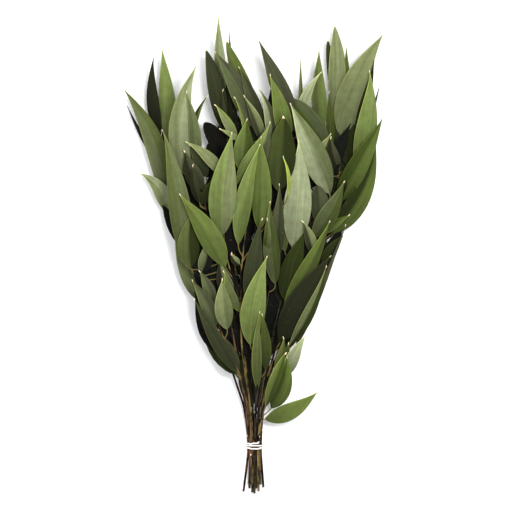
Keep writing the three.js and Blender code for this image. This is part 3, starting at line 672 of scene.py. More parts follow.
# Preserved leaf: living leaf soaked in glycerine and dye, which leaves it supple, with the soft
# satin of a waxed skin, slightly mottled, its veins a shade lighter and its thin parts dried out.
leaf_skin = blank("Preserved eucalyptus leaf")
tree = leaf_skin.node_tree
left, right, leaf_place, leaf_size, leaf_way = (
    add(tree, "ShaderNodeAttribute", attribute_name=name).outputs["Color"]
    for name in ("leaf_left", "leaf_right", "leaf_place", "leaf_size", "leaf_way"))
a, t, face_up = add(tree, "ShaderNodeSeparateXYZ", {0: leaf_place}).outputs
half, length, seed = add(tree, "ShaderNodeSeparateXYZ", {0: leaf_size}).outputs
_, _, dryness = add(tree, "ShaderNodeSeparateXYZ", {0: leaf_way}).outputs
out = add(tree, "ShaderNodeMath", {0: a, 1: half}, operation="MULTIPLY")
up = add(tree, "ShaderNodeMath", {0: t, 1: length}, operation="MULTIPLY")
beside = add(tree, "ShaderNodeMath", {0: out}, operation="ABSOLUTE")
flat = add(tree, "ShaderNodeCombineXYZ", {0: out, 1: up, 2: seed})
# Mottling about 8 mm across, and a finer grain of oil glands about 0.8 mm across.
mottle = add(tree, "ShaderNodeTexNoise", {"Vector": flat, "Scale": 0.12, "Detail": 4.0, "Roughness": 0.6})
grain = add(tree, "ShaderNodeTexNoise", {"Vector": flat, "Scale": 1.2, "Detail": 2.0})
# Soft streaks about 4 mm wide that run along the blade beside the midrib.
drawn_out = add(tree, "ShaderNodeMath", {0: up, 1: 0.05}, operation="MULTIPLY")
beside_rib = add(tree, "ShaderNodeCombineXYZ", {0: out, 1: drawn_out, 2: seed})
streak = add(tree, "ShaderNodeTexNoise", {
    "Vector": beside_rib, "Scale": 0.26, "Detail": 3.0, "Roughness": 0.55})
# Lateral veins every 3 mm leave the midrib at about 40 degrees.
slant = add(tree, "ShaderNodeMath", {0: beside, 1: -1.2, 2: up}, operation="MULTIPLY_ADD")
wander = add(tree, "ShaderNodeMath", {0: mottle, 1: 5.0, 2: slant}, operation="MULTIPLY_ADD")
pitch = add(tree, "ShaderNodeMath", {0: wander, 1: 3.0}, operation="DIVIDE")
share = add(tree, "ShaderNodeMath", {0: pitch}, operation="FRACT")
off = add(tree, "ShaderNodeMath", {0: share, 1: 0.5}, operation="SUBTRACT")
near = add(tree, "ShaderNodeMath", {0: off}, operation="ABSOLUTE")
vein = add(tree, "ShaderNodeMapRange", {
    "Value": near, "From Min": 0.02, "From Max": 0.14, "To Min": 1.0, "To Max": 0.0})
rib = add(tree, "ShaderNodeMapRange", {
    "Value": beside, "From Min": 0.2, "From Max": 0.75, "To Min": 1.0, "To Max": 0.0})
side_share = add(tree, "ShaderNodeMath", {0: a}, operation="ABSOLUTE")
inward = add(tree, "ShaderNodeMath", {0: 1.0, 1: side_share}, operation="SUBTRACT")
to_rim = add(tree, "ShaderNodeMath", {0: inward, 1: half}, operation="MULTIPLY")
rim = add(tree, "ShaderNodeMapRange", {
    "Value": to_rim, "From Min": 0.5, "From Max": 1.3, "To Min": 1.0, "To Max": 0.0})
left_over = add(tree, "ShaderNodeMath", {0: 1.0, 1: t}, operation="SUBTRACT")
to_tip = add(tree, "ShaderNodeMath", {0: left_over, 1: length}, operation="MULTIPLY")
ragged = add(tree, "ShaderNodeMath", {0: grain, 1: 3.0, 2: to_tip}, operation="MULTIPLY_ADD")
withered = add(tree, "ShaderNodeMapRange", {
    "Value": ragged, "From Min": 3.8, "From Max": 5.6, "To Min": 1.0, "To Max": 0.0})
dry = add(tree, "ShaderNodeMath", {0: withered, 1: dryness}, operation="MULTIPLY")
stalky = add(tree, "ShaderNodeMapRange", {
    "Value": t, "From Min": -0.12, "From Max": 0.015, "To Min": 1.0, "To Max": 0.0})
# Painted light and shade: one half of the folded blade takes the lit green, the other the shaded one.
painted_light_halves = add(tree, "ShaderNodeMapRange", {
    "Value": a, "From Min": -0.28, "From Max": 0.28}, interpolation_type="SMOOTHSTEP")
blade = add(tree, "ShaderNodeMix", {"Factor": painted_light_halves, "A": left, "B": right}, data_type="RGBA")
# Painted shade and light: darkest at the blade's base, deep in the bunch, and lighter towards its tip.
depth = add(tree, "ShaderNodeMapRange", {
    "Value": t, "From Min": 0.0, "From Max": 0.75, "To Min": 0.68, "To Max": 1.12},
    interpolation_type="SMOOTHSTEP")
patch, stripe, hue, sheen = (
    add(tree, "ShaderNodeMapRange", {
        "Value": noise, "From Min": 0.3, "From Max": 0.7, "To Min": low, "To Max": high})
    for noise, low, high in ((mottle, 0.84, 1.13), (streak, 0.8, 1.2), (mottle, 0.485, 0.512),
                             (mottle, -0.08, 0.08)))
uneven = add(tree, "ShaderNodeMath", {0: stripe, 1: patch}, operation="MULTIPLY")
value = add(tree, "ShaderNodeMath", {0: depth, 1: uneven}, operation="MULTIPLY")
tone = add(tree, "ShaderNodeHueSaturation", {"Hue": hue, "Value": value, "Color": blade})
below = add(tree, "ShaderNodeMapRange", {
    "Value": face_up, "From Min": -0.2, "From Max": 0.2, "To Min": 1.0, "To Max": 0.0})
vein_share = add(tree, "ShaderNodeMath", {0: vein, 1: 0.2}, operation="MULTIPLY")
rib_share = add(tree, "ShaderNodeMath", {0: rib, 1: 0.4}, operation="MULTIPLY")
# Painted highlight: the rim is lit more on the blade's left half than on its right.
rim_highlight_side = add(tree, "ShaderNodeMapRange", {
    "Value": a, "From Min": -1.0, "From Max": 1.0, "To Min": 0.75, "To Max": 0.2})
rim_share = add(tree, "ShaderNodeMath", {0: rim, 1: rim_highlight_side}, operation="MULTIPLY")
# The underside, the veins and the midrib are paler than the blade; the rim is pale margin and painted
# highlight.
for share, tint in ((below, (1.35, 1.3, 1.5)), (vein_share, (1.5, 1.5, 1.3)), (rib_share, (1.6, 1.5, 1.3)),
                    (rim_share, (2.5, 2.3, 1.8))):
    tone = add(tree, "ShaderNodeMix", {
        "Factor": share, "A": tone, "B": (*tint, 1.0)}, data_type="RGBA", blend_type="MULTIPLY")
# A few rusty freckles, a millimetre or two across.
freckle = add(tree, "ShaderNodeTexNoise", {"Vector": flat, "Scale": 0.42, "Detail": 1.0})
spot = add(tree, "ShaderNodeMapRange", {
    "Value": freckle, "From Min": 0.74, "From Max": 0.79, "To Max": 0.7})
straw = add(tree, "ShaderNodeMapRange", {
    "Value": to_tip, "From Min": 1.0, "From Max": 5.0}, interpolation_type="SMOOTHSTEP")
dry_tone = add(tree, "ShaderNodeMix", {
    "Factor": straw, "A": linear("#F0E4BE"), "B": linear("#C08A4E")}, data_type="RGBA")
# Stalks run from near black to tan with dryness; the near black on the leaves inside the bunch is painted
# shade.
stalk_tone_and_painted_shade = add(tree, "ShaderNodeMix", {
    "Factor": dryness, "A": linear("#24200F"), "B": linear("#665C34")}, data_type="RGBA")
for share, tint in ((spot, linear("#6B4A2C")), (dry, dry_tone), (stalky, stalk_tone_and_painted_shade)):
    tone = add(tree, "ShaderNodeMix", {"Factor": share, "A": tone, "B": tint}, data_type="RGBA")
brightness = add(tree, "ShaderNodeRGBToBW", {0: blade})
dark = add(tree, "ShaderNodeMapRange", {
    "Value": brightness, "From Min": 0.01, "From Max": 0.12, "To Min": 0.86, "To Max": 0.5})
satin = add(tree, "ShaderNodeMath", {0: dark, 1: sheen}, operation="ADD")
relief = add(tree, "ShaderNodeMath", {0: vein, 1: 0.6, 2: grain}, operation="MULTIPLY_ADD")
bump = add(tree, "ShaderNodeBump", {"Height": relief, "Strength": 0.35, "Distance": 0.00012})
skin = add(tree, "ShaderNodeBsdfPrincipled", {
    "Base Color": tone, "Roughness": satin, "Normal": bump, "Specular IOR Level": 0.12, "IOR": 1.45})
add(tree, "ShaderNodeOutputMaterial", {"Surface": skin})

# Each leaf is swept along its midrib: a ring of points becomes the stalk's round section, and
# then opens into a thin blade with a raised rib, a folded middle and a slightly waved rim.
BLADE_SIZES = {
    "Blade thickness": 0.46, "Rib height": 0.26, "Rib width": 0.7, "Fold": math.sin(CHANNEL),
    "Fold softness": 0.09, "Wave height": 0.55, "Wave length": 34.0,
}
sweep, given = pattern("Leaves along their midribs", "Midribs", BLADE_SIZES, "Leaves")
skins = sleeve(sweep, given["Midribs"], 20, 1.0)
middle, section, across, over, leaf_size, leaf_way = (
    add(sweep, "GeometryNodeInputNamedAttribute", {"Name": name}, data_type="FLOAT_VECTOR")
    for name in ("middle", "section", "across", "over", "leaf_size", "leaf_way"))
half, length, seed = add(sweep, "ShaderNodeSeparateXYZ", {0: leaf_size}).outputs
t, open_blade, _ = add(sweep, "ShaderNodeSeparateXYZ", {0: leaf_way}).outputs
cosine, sine, _ = add(sweep, "ShaderNodeSeparateXYZ", {0: section}).outputs
share = add(sweep, "ShaderNodeMath", {0: cosine}, operation="ABSOLUTE")
drawn_in = add(sweep, "ShaderNodeMath", {0: cosine, 1: share}, operation="MULTIPLY")
a = add(sweep, "ShaderNodeMix", {"Factor": open_blade, "A": cosine, "B": drawn_in}, data_type="FLOAT")
out = add(sweep, "ShaderNodeMath", {0: a, 1: half}, operation="MULTIPLY")
square = add(sweep, "ShaderNodeMath", {0: a, 1: a}, operation="MULTIPLY")
# Skin: even across the blade, thinning only at its rim, with the rib on top of it.
fourth = add(sweep, "ShaderNodeMath", {0: square, 1: 4.0}, operation="POWER")
full = add(sweep, "ShaderNodeMath", {0: 1.0, 1: fourth}, operation="SUBTRACT")
thin = add(sweep, "ShaderNodeMath", {0: given["Blade thickness"], 1: 0.5}, operation="MULTIPLY")
flesh = add(sweep, "ShaderNodeMath", {0: full, 1: thin}, operation="MULTIPLY")
rib_share = add(sweep, "ShaderNodeMath", {0: out, 1: given["Rib width"]}, operation="DIVIDE")
rib_square = add(sweep, "ShaderNodeMath", {0: rib_share, 1: rib_share}, operation="MULTIPLY")
rib_fall = add(sweep, "ShaderNodeMath", {0: rib_square, 1: -1.0}, operation="MULTIPLY")
rib = add(sweep, "ShaderNodeMath", {0: rib_fall}, operation="EXPONENT")
rib_thins = add(sweep, "ShaderNodeMapRange", {
    "Value": t, "From Min": 0.0, "From Max": 1.0, "To Min": 1.0, "To Max": 0.15})
rib_height = add(sweep, "ShaderNodeMath", {0: rib_thins, 1: given["Rib height"]}, operation="MULTIPLY")
skin_height = add(sweep, "ShaderNodeMath", {0: rib, 1: rib_height, 2: flesh}, operation="MULTIPLY_ADD")
face = add(sweep, "ShaderNodeMath", {0: sine}, operation="SIGN")
blade_skin = add(sweep, "ShaderNodeMath", {0: face, 1: skin_height}, operation="MULTIPLY")
stalk_skin = add(sweep, "ShaderNodeMath", {0: sine, 1: half}, operation="MULTIPLY")
thickness = add(sweep, "ShaderNodeMix", {
    "Factor": open_blade, "A": stalk_skin, "B": blade_skin}, data_type="FLOAT")
# Fold along the midrib, and the rim's wave.
soft_square = add(sweep, "ShaderNodeMath", {
    0: given["Fold softness"], 1: given["Fold softness"]}, operation="MULTIPLY")
soft_sum = add(sweep, "ShaderNodeMath", {0: square, 1: soft_square}, operation="ADD")
soft_root = add(sweep, "ShaderNodeMath", {0: soft_sum}, operation="SQRT")
crease = add(sweep, "ShaderNodeMath", {0: soft_root, 1: given["Fold softness"]}, operation="SUBTRACT")
crease_out = add(sweep, "ShaderNodeMath", {0: crease, 1: half}, operation="MULTIPLY")
fold = add(sweep, "ShaderNodeMath", {0: crease_out, 1: given["Fold"]}, operation="MULTIPLY")
waves = add(sweep, "ShaderNodeMath", {0: length, 1: given["Wave length"]}, operation="DIVIDE")
turns = add(sweep, "ShaderNodeMath", {0: waves, 1: t}, operation="MULTIPLY")
angle = add(sweep, "ShaderNodeMath", {0: turns, 1: 2 * math.pi, 2: seed}, operation="MULTIPLY_ADD")
side_angle = add(sweep, "ShaderNodeMath", {0: cosine, 1: 0.8, 2: angle}, operation="MULTIPLY_ADD")
wave = add(sweep, "ShaderNodeMath", {0: side_angle}, operation="SINE")
wave_out = add(sweep, "ShaderNodeMath", {0: wave, 1: square}, operation="MULTIPLY")
rise = add(sweep, "ShaderNodeMath", {
    0: wave_out, 1: given["Wave height"], 2: fold}, operation="MULTIPLY_ADD")
lifted = add(sweep, "ShaderNodeMath", {0: rise, 1: open_blade}, operation="MULTIPLY")
sideways = add(sweep, "ShaderNodeVectorMath", {0: across, "Scale": out}, operation="SCALE")
through = add(sweep, "ShaderNodeVectorMath", {0: over, "Scale": thickness}, operation="SCALE")
upwards = add(sweep, "ShaderNodeCombineXYZ", {"Z": lifted})
offset = add(sweep, "ShaderNodeVectorMath", {0: sideways, 1: through}, operation="ADD")
offset = add(sweep, "ShaderNodeVectorMath", {0: offset, 1: upwards}, operation="ADD")
offset = add(sweep, "ShaderNodeVectorMath", {0: offset, "Scale": MM}, operation="SCALE")
spot_at = add(sweep, "ShaderNodeVectorMath", {0: middle, 1: offset}, operation="ADD")
leaf_place = add(sweep, "ShaderNodeCombineXYZ", {0: a, 1: t, 2: sine})
skins = add(sweep, "GeometryNodeStoreNamedAttribute", {
    "Geometry": skins, "Name": "leaf_place", "Value": leaf_place},
    data_type="FLOAT_VECTOR", domain="POINT")
skins = add(sweep, "GeometryNodeSetPosition", {"Geometry": skins, "Position": spot_at})
# The blade's section runs the other way round its ring, so its faces are turned outward again.
skins = add(sweep, "GeometryNodeFlipFaces", {"Mesh": skins})
end(sweep, skins, leaf_skin)


def midrib_rings(leaf, seed):
    """The midrib of one leaf from the stem to its tip, with what each of its rings carries."""
    stalk_t = np.array(STALK_RINGS[::2] if leaf.inside else STALK_RINGS)
    blade_t = np.array([*BLADE_RINGS[:-1:2], 1.0] if leaf.inside else BLADE_RINGS)
    t = np.concatenate([stalk_t, blade_t])
    stalk, stalk_along = leaf.stalk_way(stalk_t)
    plan = np.concatenate([stalk, leaf.midrib(blade_t)])
    along = np.concatenate([stalk_along, leaf.along(blade_t)])
    height = leaf.height(t)
    # The dried tip hooks a little to one side and curls up.
    hook = TIP_HOOK * (2 * scatter(seed, 0.6180) - 1)
    curl = np.clip((t - HOOK_FROM) / (1 - HOOK_FROM), 0, 1) ** 2
    plan = plan + leaf.side * (hook * curl)[:, None]
    height = height + 0.5 * abs(hook) * curl
    neck = blend(STALK_HALF, STALK_FOOT_HALF, np.clip(-t, 0, 1) ** 3)
    half = np.where(t < 0, neck, np.hypot(leaf.half_width(t), blend(STALK_HALF, RIM_HALF, t)))
    half[-1] = POINT_HALF
    roll = leaf.roll * (0.35 + 0.65 * np.clip(t, 0, 1))
    across = np.column_stack([along[:, 1] * np.cos(roll), -along[:, 0] * np.cos(roll), np.sin(roll)])
    over = np.column_stack([-along[:, 1] * np.sin(roll), along[:, 0] * np.sin(roll), np.cos(roll)])
    # Inside and blunt leaves get no dry tip; on the inside leaves their near-black stalks are painted shade.
    dryness = 0.0 if leaf.inside or leaf.tip_power < BLUNT_BELOW else blend(0.6, 1.0, scatter(seed, 0.7549))
    left, right = (np.tile(linear(GREENS[green]), (len(t), 1)) for green in leaf.greens)
    return dict(
        chain=np.column_stack([plan, height]), across=across, over=over, leaf_left=left, leaf_right=right,
        leaf_size=np.column_stack([half, np.full(len(t), leaf.length), np.full(len(t), seed * 2.4)]),
        leaf_way=np.column_stack([t, ease(t, -0.02, 0.06), np.full(len(t), dryness)]))


leaf_count = 0
for name, stem in laid.items():
    rings = []
    for leaf in stem["leaves"]:
        leaf_count += 1
        rings.append(midrib_rings(leaf, leaf_count))
    carried = {key: np.concatenate([ring[key] for ring in rings]) for key in rings[0] if key != "chain"}
    midribs = guide(f"midribs_{name}", [ring["chain"] * MM for ring in rings], **carried)
    leaves = grow(midribs, f"leaves_{name}", sweep, BLADE_SIZES)
    places = np.empty(len(leaves.data.vertices) * 3)
    leaves.data.vertices.foreach_get("co", places)
    leaves.data.vertices.foreach_set("co", lie(places.reshape(-1, 3) / MM, stem["face"]).ravel())
    if stem["face"] < 0:
        leaves.data.flip_normals()
    leaves.data.update()
    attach(leaves, "root")
    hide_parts(f"stem_{name}")


# The wood of the stems. Thin shoots, cut square with shears: smooth brown bark with fine ridges
# along it, small scars where the lower leaves were stripped, and a swelling under each leaf.
BARKS = {"red": ("#2E1006", "#23150D"), "dark": ("#0A0806", "#1C1711"), "brown": ("#2A1F17", "#3C2D1D"),
         "olive": ("#6B5828", "#473C20")}
WOOD_SHARE = 0.9
NODE_SWELL = 0.22
NODE_REACH = 2.2
TWIG_RADII = (0.95, 0.7)
SCARS_FROM = 20
SCARS_REACH = 84
SCAR_OUT = 1.1
SCAR_UP = 0.9

bark_skin = blank("Preserved eucalyptus bark")
tree = bark_skin.node_tree
bark_place, low_tone, high_tone = (add(tree, "ShaderNodeAttribute", attribute_name=name).outputs["Color"]
                                   for name in ("bark_place", "bark_low", "bark_high"))
cut, nub = (add(tree, "ShaderNodeAttribute", attribute_name=name).outputs["Fac"]
            for name in ("cut_end", "nub"))
around_x, around_y, along_mm = add(tree, "ShaderNodeSeparateXYZ", {0: bark_place}).outputs
long_way = add(tree, "ShaderNodeMath", {0: along_mm, 1: 0.09}, operation="MULTIPLY")
stretched = add(tree, "ShaderNodeCombineXYZ", {0: around_x, 1: around_y, 2: long_way})
# Streaks about half a millimetre wide and 5 mm long, and pale breathing pores.
streak = add(tree, "ShaderNodeTexNoise", {
    "Vector": stretched, "Scale": 2.6, "Detail": 4.0, "Roughness": 0.65})
pore_way = add(tree, "ShaderNodeMath", {0: along_mm, 1: 0.6}, operation="MULTIPLY")
pore_at = add(tree, "ShaderNodeCombineXYZ", {0: around_x, 1: around_y, 2: pore_way})
pore = add(tree, "ShaderNodeTexVoronoi", {"Vector": pore_at, "Scale": 1.1})
pale = add(tree, "ShaderNodeMapRange", {
    "Value": pore.outputs["Distance"], "From Min": 0.1, "From Max": 0.2, "To Min": 0.55, "To Max": 0.0})
up_stem = add(tree, "ShaderNodeMapRange", {"Value": along_mm, "From Min": 60.0, "From Max": 240.0})
bark = add(tree, "ShaderNodeMix", {"Factor": up_stem, "A": low_tone, "B": high_tone}, data_type="RGBA")
streak_value = add(tree, "ShaderNodeMapRange", {
    "Value": streak, "From Min": 0.3, "From Max": 0.7, "To Min": 0.1, "To Max": 2.1})
# Weathered lengths, about 15 mm long and one side of the stem wide, that run from black to straw.
weather_way = add(tree, "ShaderNodeMath", {0: along_mm, 1: 0.13}, operation="MULTIPLY")
weather_at = add(tree, "ShaderNodeCombineXYZ", {0: around_x, 1: around_y, 2: weather_way})
weather = add(tree, "ShaderNodeTexNoise", {
    "Vector": weather_at, "Scale": 0.5, "Detail": 1.0, "Roughness": 0.5})
weather_value = add(tree, "ShaderNodeMapRange", {
    "Value": weather, "From Min": 0.41, "From Max": 0.59, "To Min": 0.05, "To Max": 2.2})
weathered = add(tree, "ShaderNodeHueSaturation", {"Color": bark, "Value": weather_value})
tone = add(tree, "ShaderNodeHueSaturation", {"Color": weathered, "Value": streak_value})
for share, tint in ((pale, "#9C8460"), (nub, "#E2D3A4"), (cut, "#CDB68A")):
    tone = add(tree, "ShaderNodeMix", {"Factor": share, "A": tone, "B": linear(tint)}, data_type="RGBA")
dull = add(tree, "ShaderNodeMapRange", {
    "Value": streak, "From Min": 0.3, "From Max": 0.7, "To Min": 0.5, "To Max": 0.72})
bark_bump = add(tree, "ShaderNodeBump", {"Height": streak, "Strength": 0.5, "Distance": 0.0003})
bark_shine = add(tree, "ShaderNodeBsdfPrincipled", {
    "Base Color": tone, "Roughness": dull, "Normal": bark_bump, "Specular IOR Level": 0.06, "IOR": 1.5})
add(tree, "ShaderNodeOutputMaterial", {"Surface": bark_shine})

# Bark round each stem and twig, with its ridges, and a nub at every scar.
BARK_SIZES = {"Ridge height": 0.1 * MM, "Ridge scale": 1.2, "Nub size": 0.75 * MM}
wrap, given = pattern("Bark round the stems", "Ways", BARK_SIZES, "Wood")
wood = sleeve(wrap, given["Ways"], 14, 1.0)
middle, section = (add(wrap, "GeometryNodeInputNamedAttribute", {"Name": name}, data_type="FLOAT_VECTOR")
                   for name in ("middle", "section"))
thickness, lengthways, nub_size = (
    add(wrap, "GeometryNodeInputNamedAttribute", {"Name": name}, data_type="FLOAT")
    for name in ("thickness", "lengthways", "nub_size"))
round_x, round_y, _ = add(wrap, "ShaderNodeSeparateXYZ", {0: section}).outputs
bark_place = add(wrap, "ShaderNodeCombineXYZ", {0: round_x, 1: round_y, 2: lengthways})
ridge_way = add(wrap, "ShaderNodeVectorMath", {0: bark_place, 1: (1.0, 1.0, 0.07)}, operation="MULTIPLY")
ridge = add(wrap, "ShaderNodeTexNoise", {
    "Vector": ridge_way, "Scale": given["Ridge scale"], "Detail": 1.0})
ridge_off = add(wrap, "ShaderNodeMath", {0: ridge, 1: 0.5}, operation="SUBTRACT")
ridge_up = add(wrap, "ShaderNodeMath", {
    0: ridge_off, 1: given["Ridge height"], 2: thickness}, operation="MULTIPLY_ADD")
here = add(wrap, "GeometryNodeInputPosition")
from_middle = add(wrap, "ShaderNodeVectorMath", {0: here, 1: middle}, operation="SUBTRACT")
outward = add(wrap, "ShaderNodeVectorMath", {0: from_middle}, operation="NORMALIZE")
reach = add(wrap, "ShaderNodeVectorMath", {0: outward, "Scale": ridge_up}, operation="SCALE")
on_bark = add(wrap, "ShaderNodeVectorMath", {0: middle, 1: reach}, operation="ADD")
wood = add(wrap, "GeometryNodeStoreNamedAttribute", {
    "Geometry": wood, "Name": "bark_place", "Value": bark_place},
    data_type="FLOAT_VECTOR", domain="POINT")
wood = add(wrap, "GeometryNodeSetPosition", {"Geometry": wood, "Position": on_bark})
normal = add(wrap, "GeometryNodeInputNormal")
facing = add(wrap, "ShaderNodeVectorMath", {0: normal, 1: (0.0, -1.0, 0.0)}, operation="DOT_PRODUCT")
squarely = add(wrap, "ShaderNodeMath", {0: facing.outputs["Value"], 1: 0.85}, operation="GREATER_THAN")
wood = add(wrap, "GeometryNodeStoreNamedAttribute", {
    "Geometry": wood, "Name": "cut_end", "Value": squarely}, data_type="FLOAT", domain="FACE")
# Nubs: small flattened buds, turned at random with a fixed seed, where a leaf was stripped.
has_nub = add(wrap, "ShaderNodeMath", {0: nub_size, 1: 0.01}, operation="GREATER_THAN")
scars = add(wrap, "GeometryNodeMeshToPoints", {"Mesh": given["Ways"], "Selection": has_nub})
bud = add(wrap, "GeometryNodeMeshIcoSphere", {"Radius": 1.0, "Subdivisions": 2})
bud = add(wrap, "GeometryNodeTransform", {"Geometry": bud.outputs["Mesh"], "Scale": (1.0, 1.5, 0.8)})
bud = add(wrap, "GeometryNodeStoreNamedAttribute", {
    "Geometry": bud, "Name": "nub", "Value": 1.0}, data_type="FLOAT", domain="POINT")
turn = add(wrap, "FunctionNodeRandomValue", {
    0: (-0.4, -0.4, -0.4), 1: (0.4, 0.4, 0.4), "Seed": 7}, data_type="FLOAT_VECTOR")
nub_scale = add(wrap, "ShaderNodeMath", {0: nub_size, 1: given["Nub size"]}, operation="MULTIPLY")
nubs = add(wrap, "GeometryNodeInstanceOnPoints", {
    "Points": scars, "Instance": bud, "Rotation": turn, "Scale": nub_scale})
wood = add(wrap, "GeometryNodeJoinGeometry", {0: wood})
wrap.links.new(nubs.outputs[0], wood.inputs[0])
end(wrap, wood, bark_skin)

for seed, (name, stem) in enumerate(laid.items()):
    chains, radii, lengths, nubs = [], [], [], []
    feet = np.array([leaf.foot for leaf in stem["leaves"]])
    for number, line in enumerate([stem["line"], *stem["twigs"]]):
        way = relax(divide(line, 2.5), 6)
        fall = np.exp(-((way[:, None, 1] - feet[None, :, 1]) / NODE_REACH) ** 2).max(axis=1)
        thick = blend(*TWIG_RADII, np.linspace(0, 1, len(way))) if number else stem["radius"](way[:, 1])
        thick = thick * (1 + NODE_SWELL * fall) * WOOD_SHARE
        chains.append(lie(way, stem["face"]))
        radii.append(thick * MM)
        lengths.append(way[:, 1] + 37 * seed)
        nubs.append(np.zeros(len(way)))
    # The scar of a stripped leaf, on the lower stem, a little to one side of its top.
    index = 5 * seed + 1
    at = line_at(stem["line"], SCARS_FROM + SCARS_REACH * scatter(index, 0.618))
    side = SCAR_OUT if seed % 2 else -SCAR_OUT
    chains.append(lie([at], stem["face"]) + np.array([side, 0, SCAR_UP]) * MM)
    radii.append(np.zeros(1))
    lengths.append(np.zeros(1))
    nubs.append(np.array([blend(0.7, 1.2, scatter(index, 0.7549))]))
    count = sum(len(chain) for chain in chains)
    low, high = BARKS[stem["bark"]]
    ways = guide(f"ways_{name}", chains, thickness=np.concatenate(radii), lengthways=np.concatenate(lengths),
                 nub_size=np.concatenate(nubs), bark_low=np.tile(linear(low), (count, 1)),
                 bark_high=np.tile(linear(high), (count, 1)))
    wood = grow(ways, f"wood_{name}", wrap, BARK_SIZES)
    press(wood)
    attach(wood, "root")
    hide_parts(f"stem_{name}")


# The tie. Cream elastic: a rubber core covered with braided yarn, wound twice tightly round the
# bundle and a third time loosely, its end drawn under the turns in front.
LOWER_TURN_Y = TIE_Y - 4.15
LOWER_TURN_SLANT = 1.2
UPPER_TURN_Y = TIE_Y - 0.3
LOOSE_END_UP = 4.8
LOOSE_SIDE_UP = 1
LOOSE_FRONT_UP = 3
TURN_STEPS = 97
STRAND_SPACING = 0.6
EASING_ROUNDS = 6

elastic = blank("Braided cream elastic")
tree = elastic.node_tree
yarn_place = add(tree, "ShaderNodeAttribute", attribute_name="yarn_place").outputs["Vector"]
around_x, around_y, along_mm = add(tree, "ShaderNodeSeparateXYZ", {0: yarn_place}).outputs
turn = add(tree, "ShaderNodeMath", {0: around_y, 1: around_x}, operation="ARCTAN2")
# Yarns cross at a pitch of 0.7 mm, drawn that coarse so that they show.
one_way = add(tree, "ShaderNodeMath", {0: along_mm, 1: 9.0}, operation="MULTIPLY")
forward = add(tree, "ShaderNodeMath", {0: turn, 1: 4.0, 2: one_way}, operation="MULTIPLY_ADD")
backward = add(tree, "ShaderNodeMath", {0: turn, 1: -4.0, 2: one_way}, operation="MULTIPLY_ADD")
wave_one = add(tree, "ShaderNodeMath", {0: forward}, operation="SINE")
wave_two = add(tree, "ShaderNodeMath", {0: backward}, operation="SINE")
braid = add(tree, "ShaderNodeMath", {0: wave_one, 1: wave_two}, operation="MAXIMUM")
crossing = add(tree, "ShaderNodeMapRange", {"Value": braid, "From Min": -0.6, "From Max": 0.8})
yarn = add(tree, "ShaderNodeMix", {
    "Factor": crossing, "A": linear("#E2D8C4"), "B": linear("#FCF9F1")}, data_type="RGBA")
braid_bump = add(tree, "ShaderNodeBump", {"Height": crossing, "Strength": 0.7, "Distance": 0.0001})
cloth = add(tree, "ShaderNodeBsdfPrincipled", {
    "Base Color": yarn, "Roughness": 0.8, "Normal": braid_bump, "Sheen Weight": 0.3, "Sheen Roughness": 0.5})
add(tree, "ShaderNodeOutputMaterial", {"Surface": cloth})

ELASTIC_SIZES = {"Radius": STRAND_RADIUS * MM, "Yarn relief": 0.05 * MM}
cord, given = pattern("Elastic round the bundle", "Turns", ELASTIC_SIZES, "Tie")
turns = sleeve(cord, given["Turns"], 16, given["Radius"])
section = add(cord, "GeometryNodeInputNamedAttribute", {"Name": "section"}, data_type="FLOAT_VECTOR")
lengthways = add(cord, "GeometryNodeInputNamedAttribute", {"Name": "lengthways"}, data_type="FLOAT")
round_x, round_y, _ = add(cord, "ShaderNodeSeparateXYZ", {0: section}).outputs
yarn_place = add(cord, "ShaderNodeCombineXYZ", {0: round_x, 1: round_y, 2: lengthways})
turn = add(cord, "ShaderNodeMath", {0: round_y, 1: round_x}, operation="ARCTAN2")
lay = add(cord, "ShaderNodeMath", {0: lengthways, 1: 4.5}, operation="MULTIPLY")
spiral = add(cord, "ShaderNodeMath", {0: turn, 1: 4.0, 2: lay}, operation="MULTIPLY_ADD")
lobe = add(cord, "ShaderNodeMath", {0: spiral}, operation="SINE")
relief = add(cord, "ShaderNodeMath", {0: lobe, 1: given["Yarn relief"]}, operation="MULTIPLY")
normal = add(cord, "GeometryNodeInputNormal")
raised = add(cord, "ShaderNodeVectorMath", {0: normal, "Scale": relief}, operation="SCALE")
turns = add(cord, "GeometryNodeStoreNamedAttribute", {
    "Geometry": turns, "Name": "yarn_place", "Value": yarn_place},
    data_type="FLOAT_VECTOR", domain="POINT")
turns = add(cord, "GeometryNodeSetPosition", {"Geometry": turns, "Offset": raised})
end(cord, turns, elastic)


def turn_round(start, stop, count, height):
    """Elastic pulled against the outermost stems, from one share of a turn to another, in mm."""
    made = []
    for share in np.linspace(0, 1, count):
        angle = 2 * math.pi * blend(start, stop, share)
        out = np.array([math.cos(angle), 0, math.sin(angle)])
        y = height(share)
        centres = [lie([line_at(stem["line"], y)], stem["face"])[0] / MM for stem in laid.values()]
        outermost = max(centres, key=lambda centre: float(centre @ out))
        made.append(outermost + out * (STEM_RADIUS + SEAT_GAP + STRAND_RADIUS))
    return np.array(made)


def lower_height(share):
    return LOWER_TURN_Y + LOWER_TURN_SLANT * math.cos(2 * math.pi * share) ** 2


def upper_height(share):
    return UPPER_TURN_Y


def loose_height(share):
    if share < 0.1:
        return TIE_Y + blend(LOOSE_END_UP, LOOSE_SIDE_UP, share / 0.1)
    front = blend(LOOSE_SIDE_UP, LOOSE_FRONT_UP, float(ease(share, 0.1, 0.35)))
    return TIE_Y + front - LOOSE_FRONT_UP * float(ease(share, 0.7, 1))


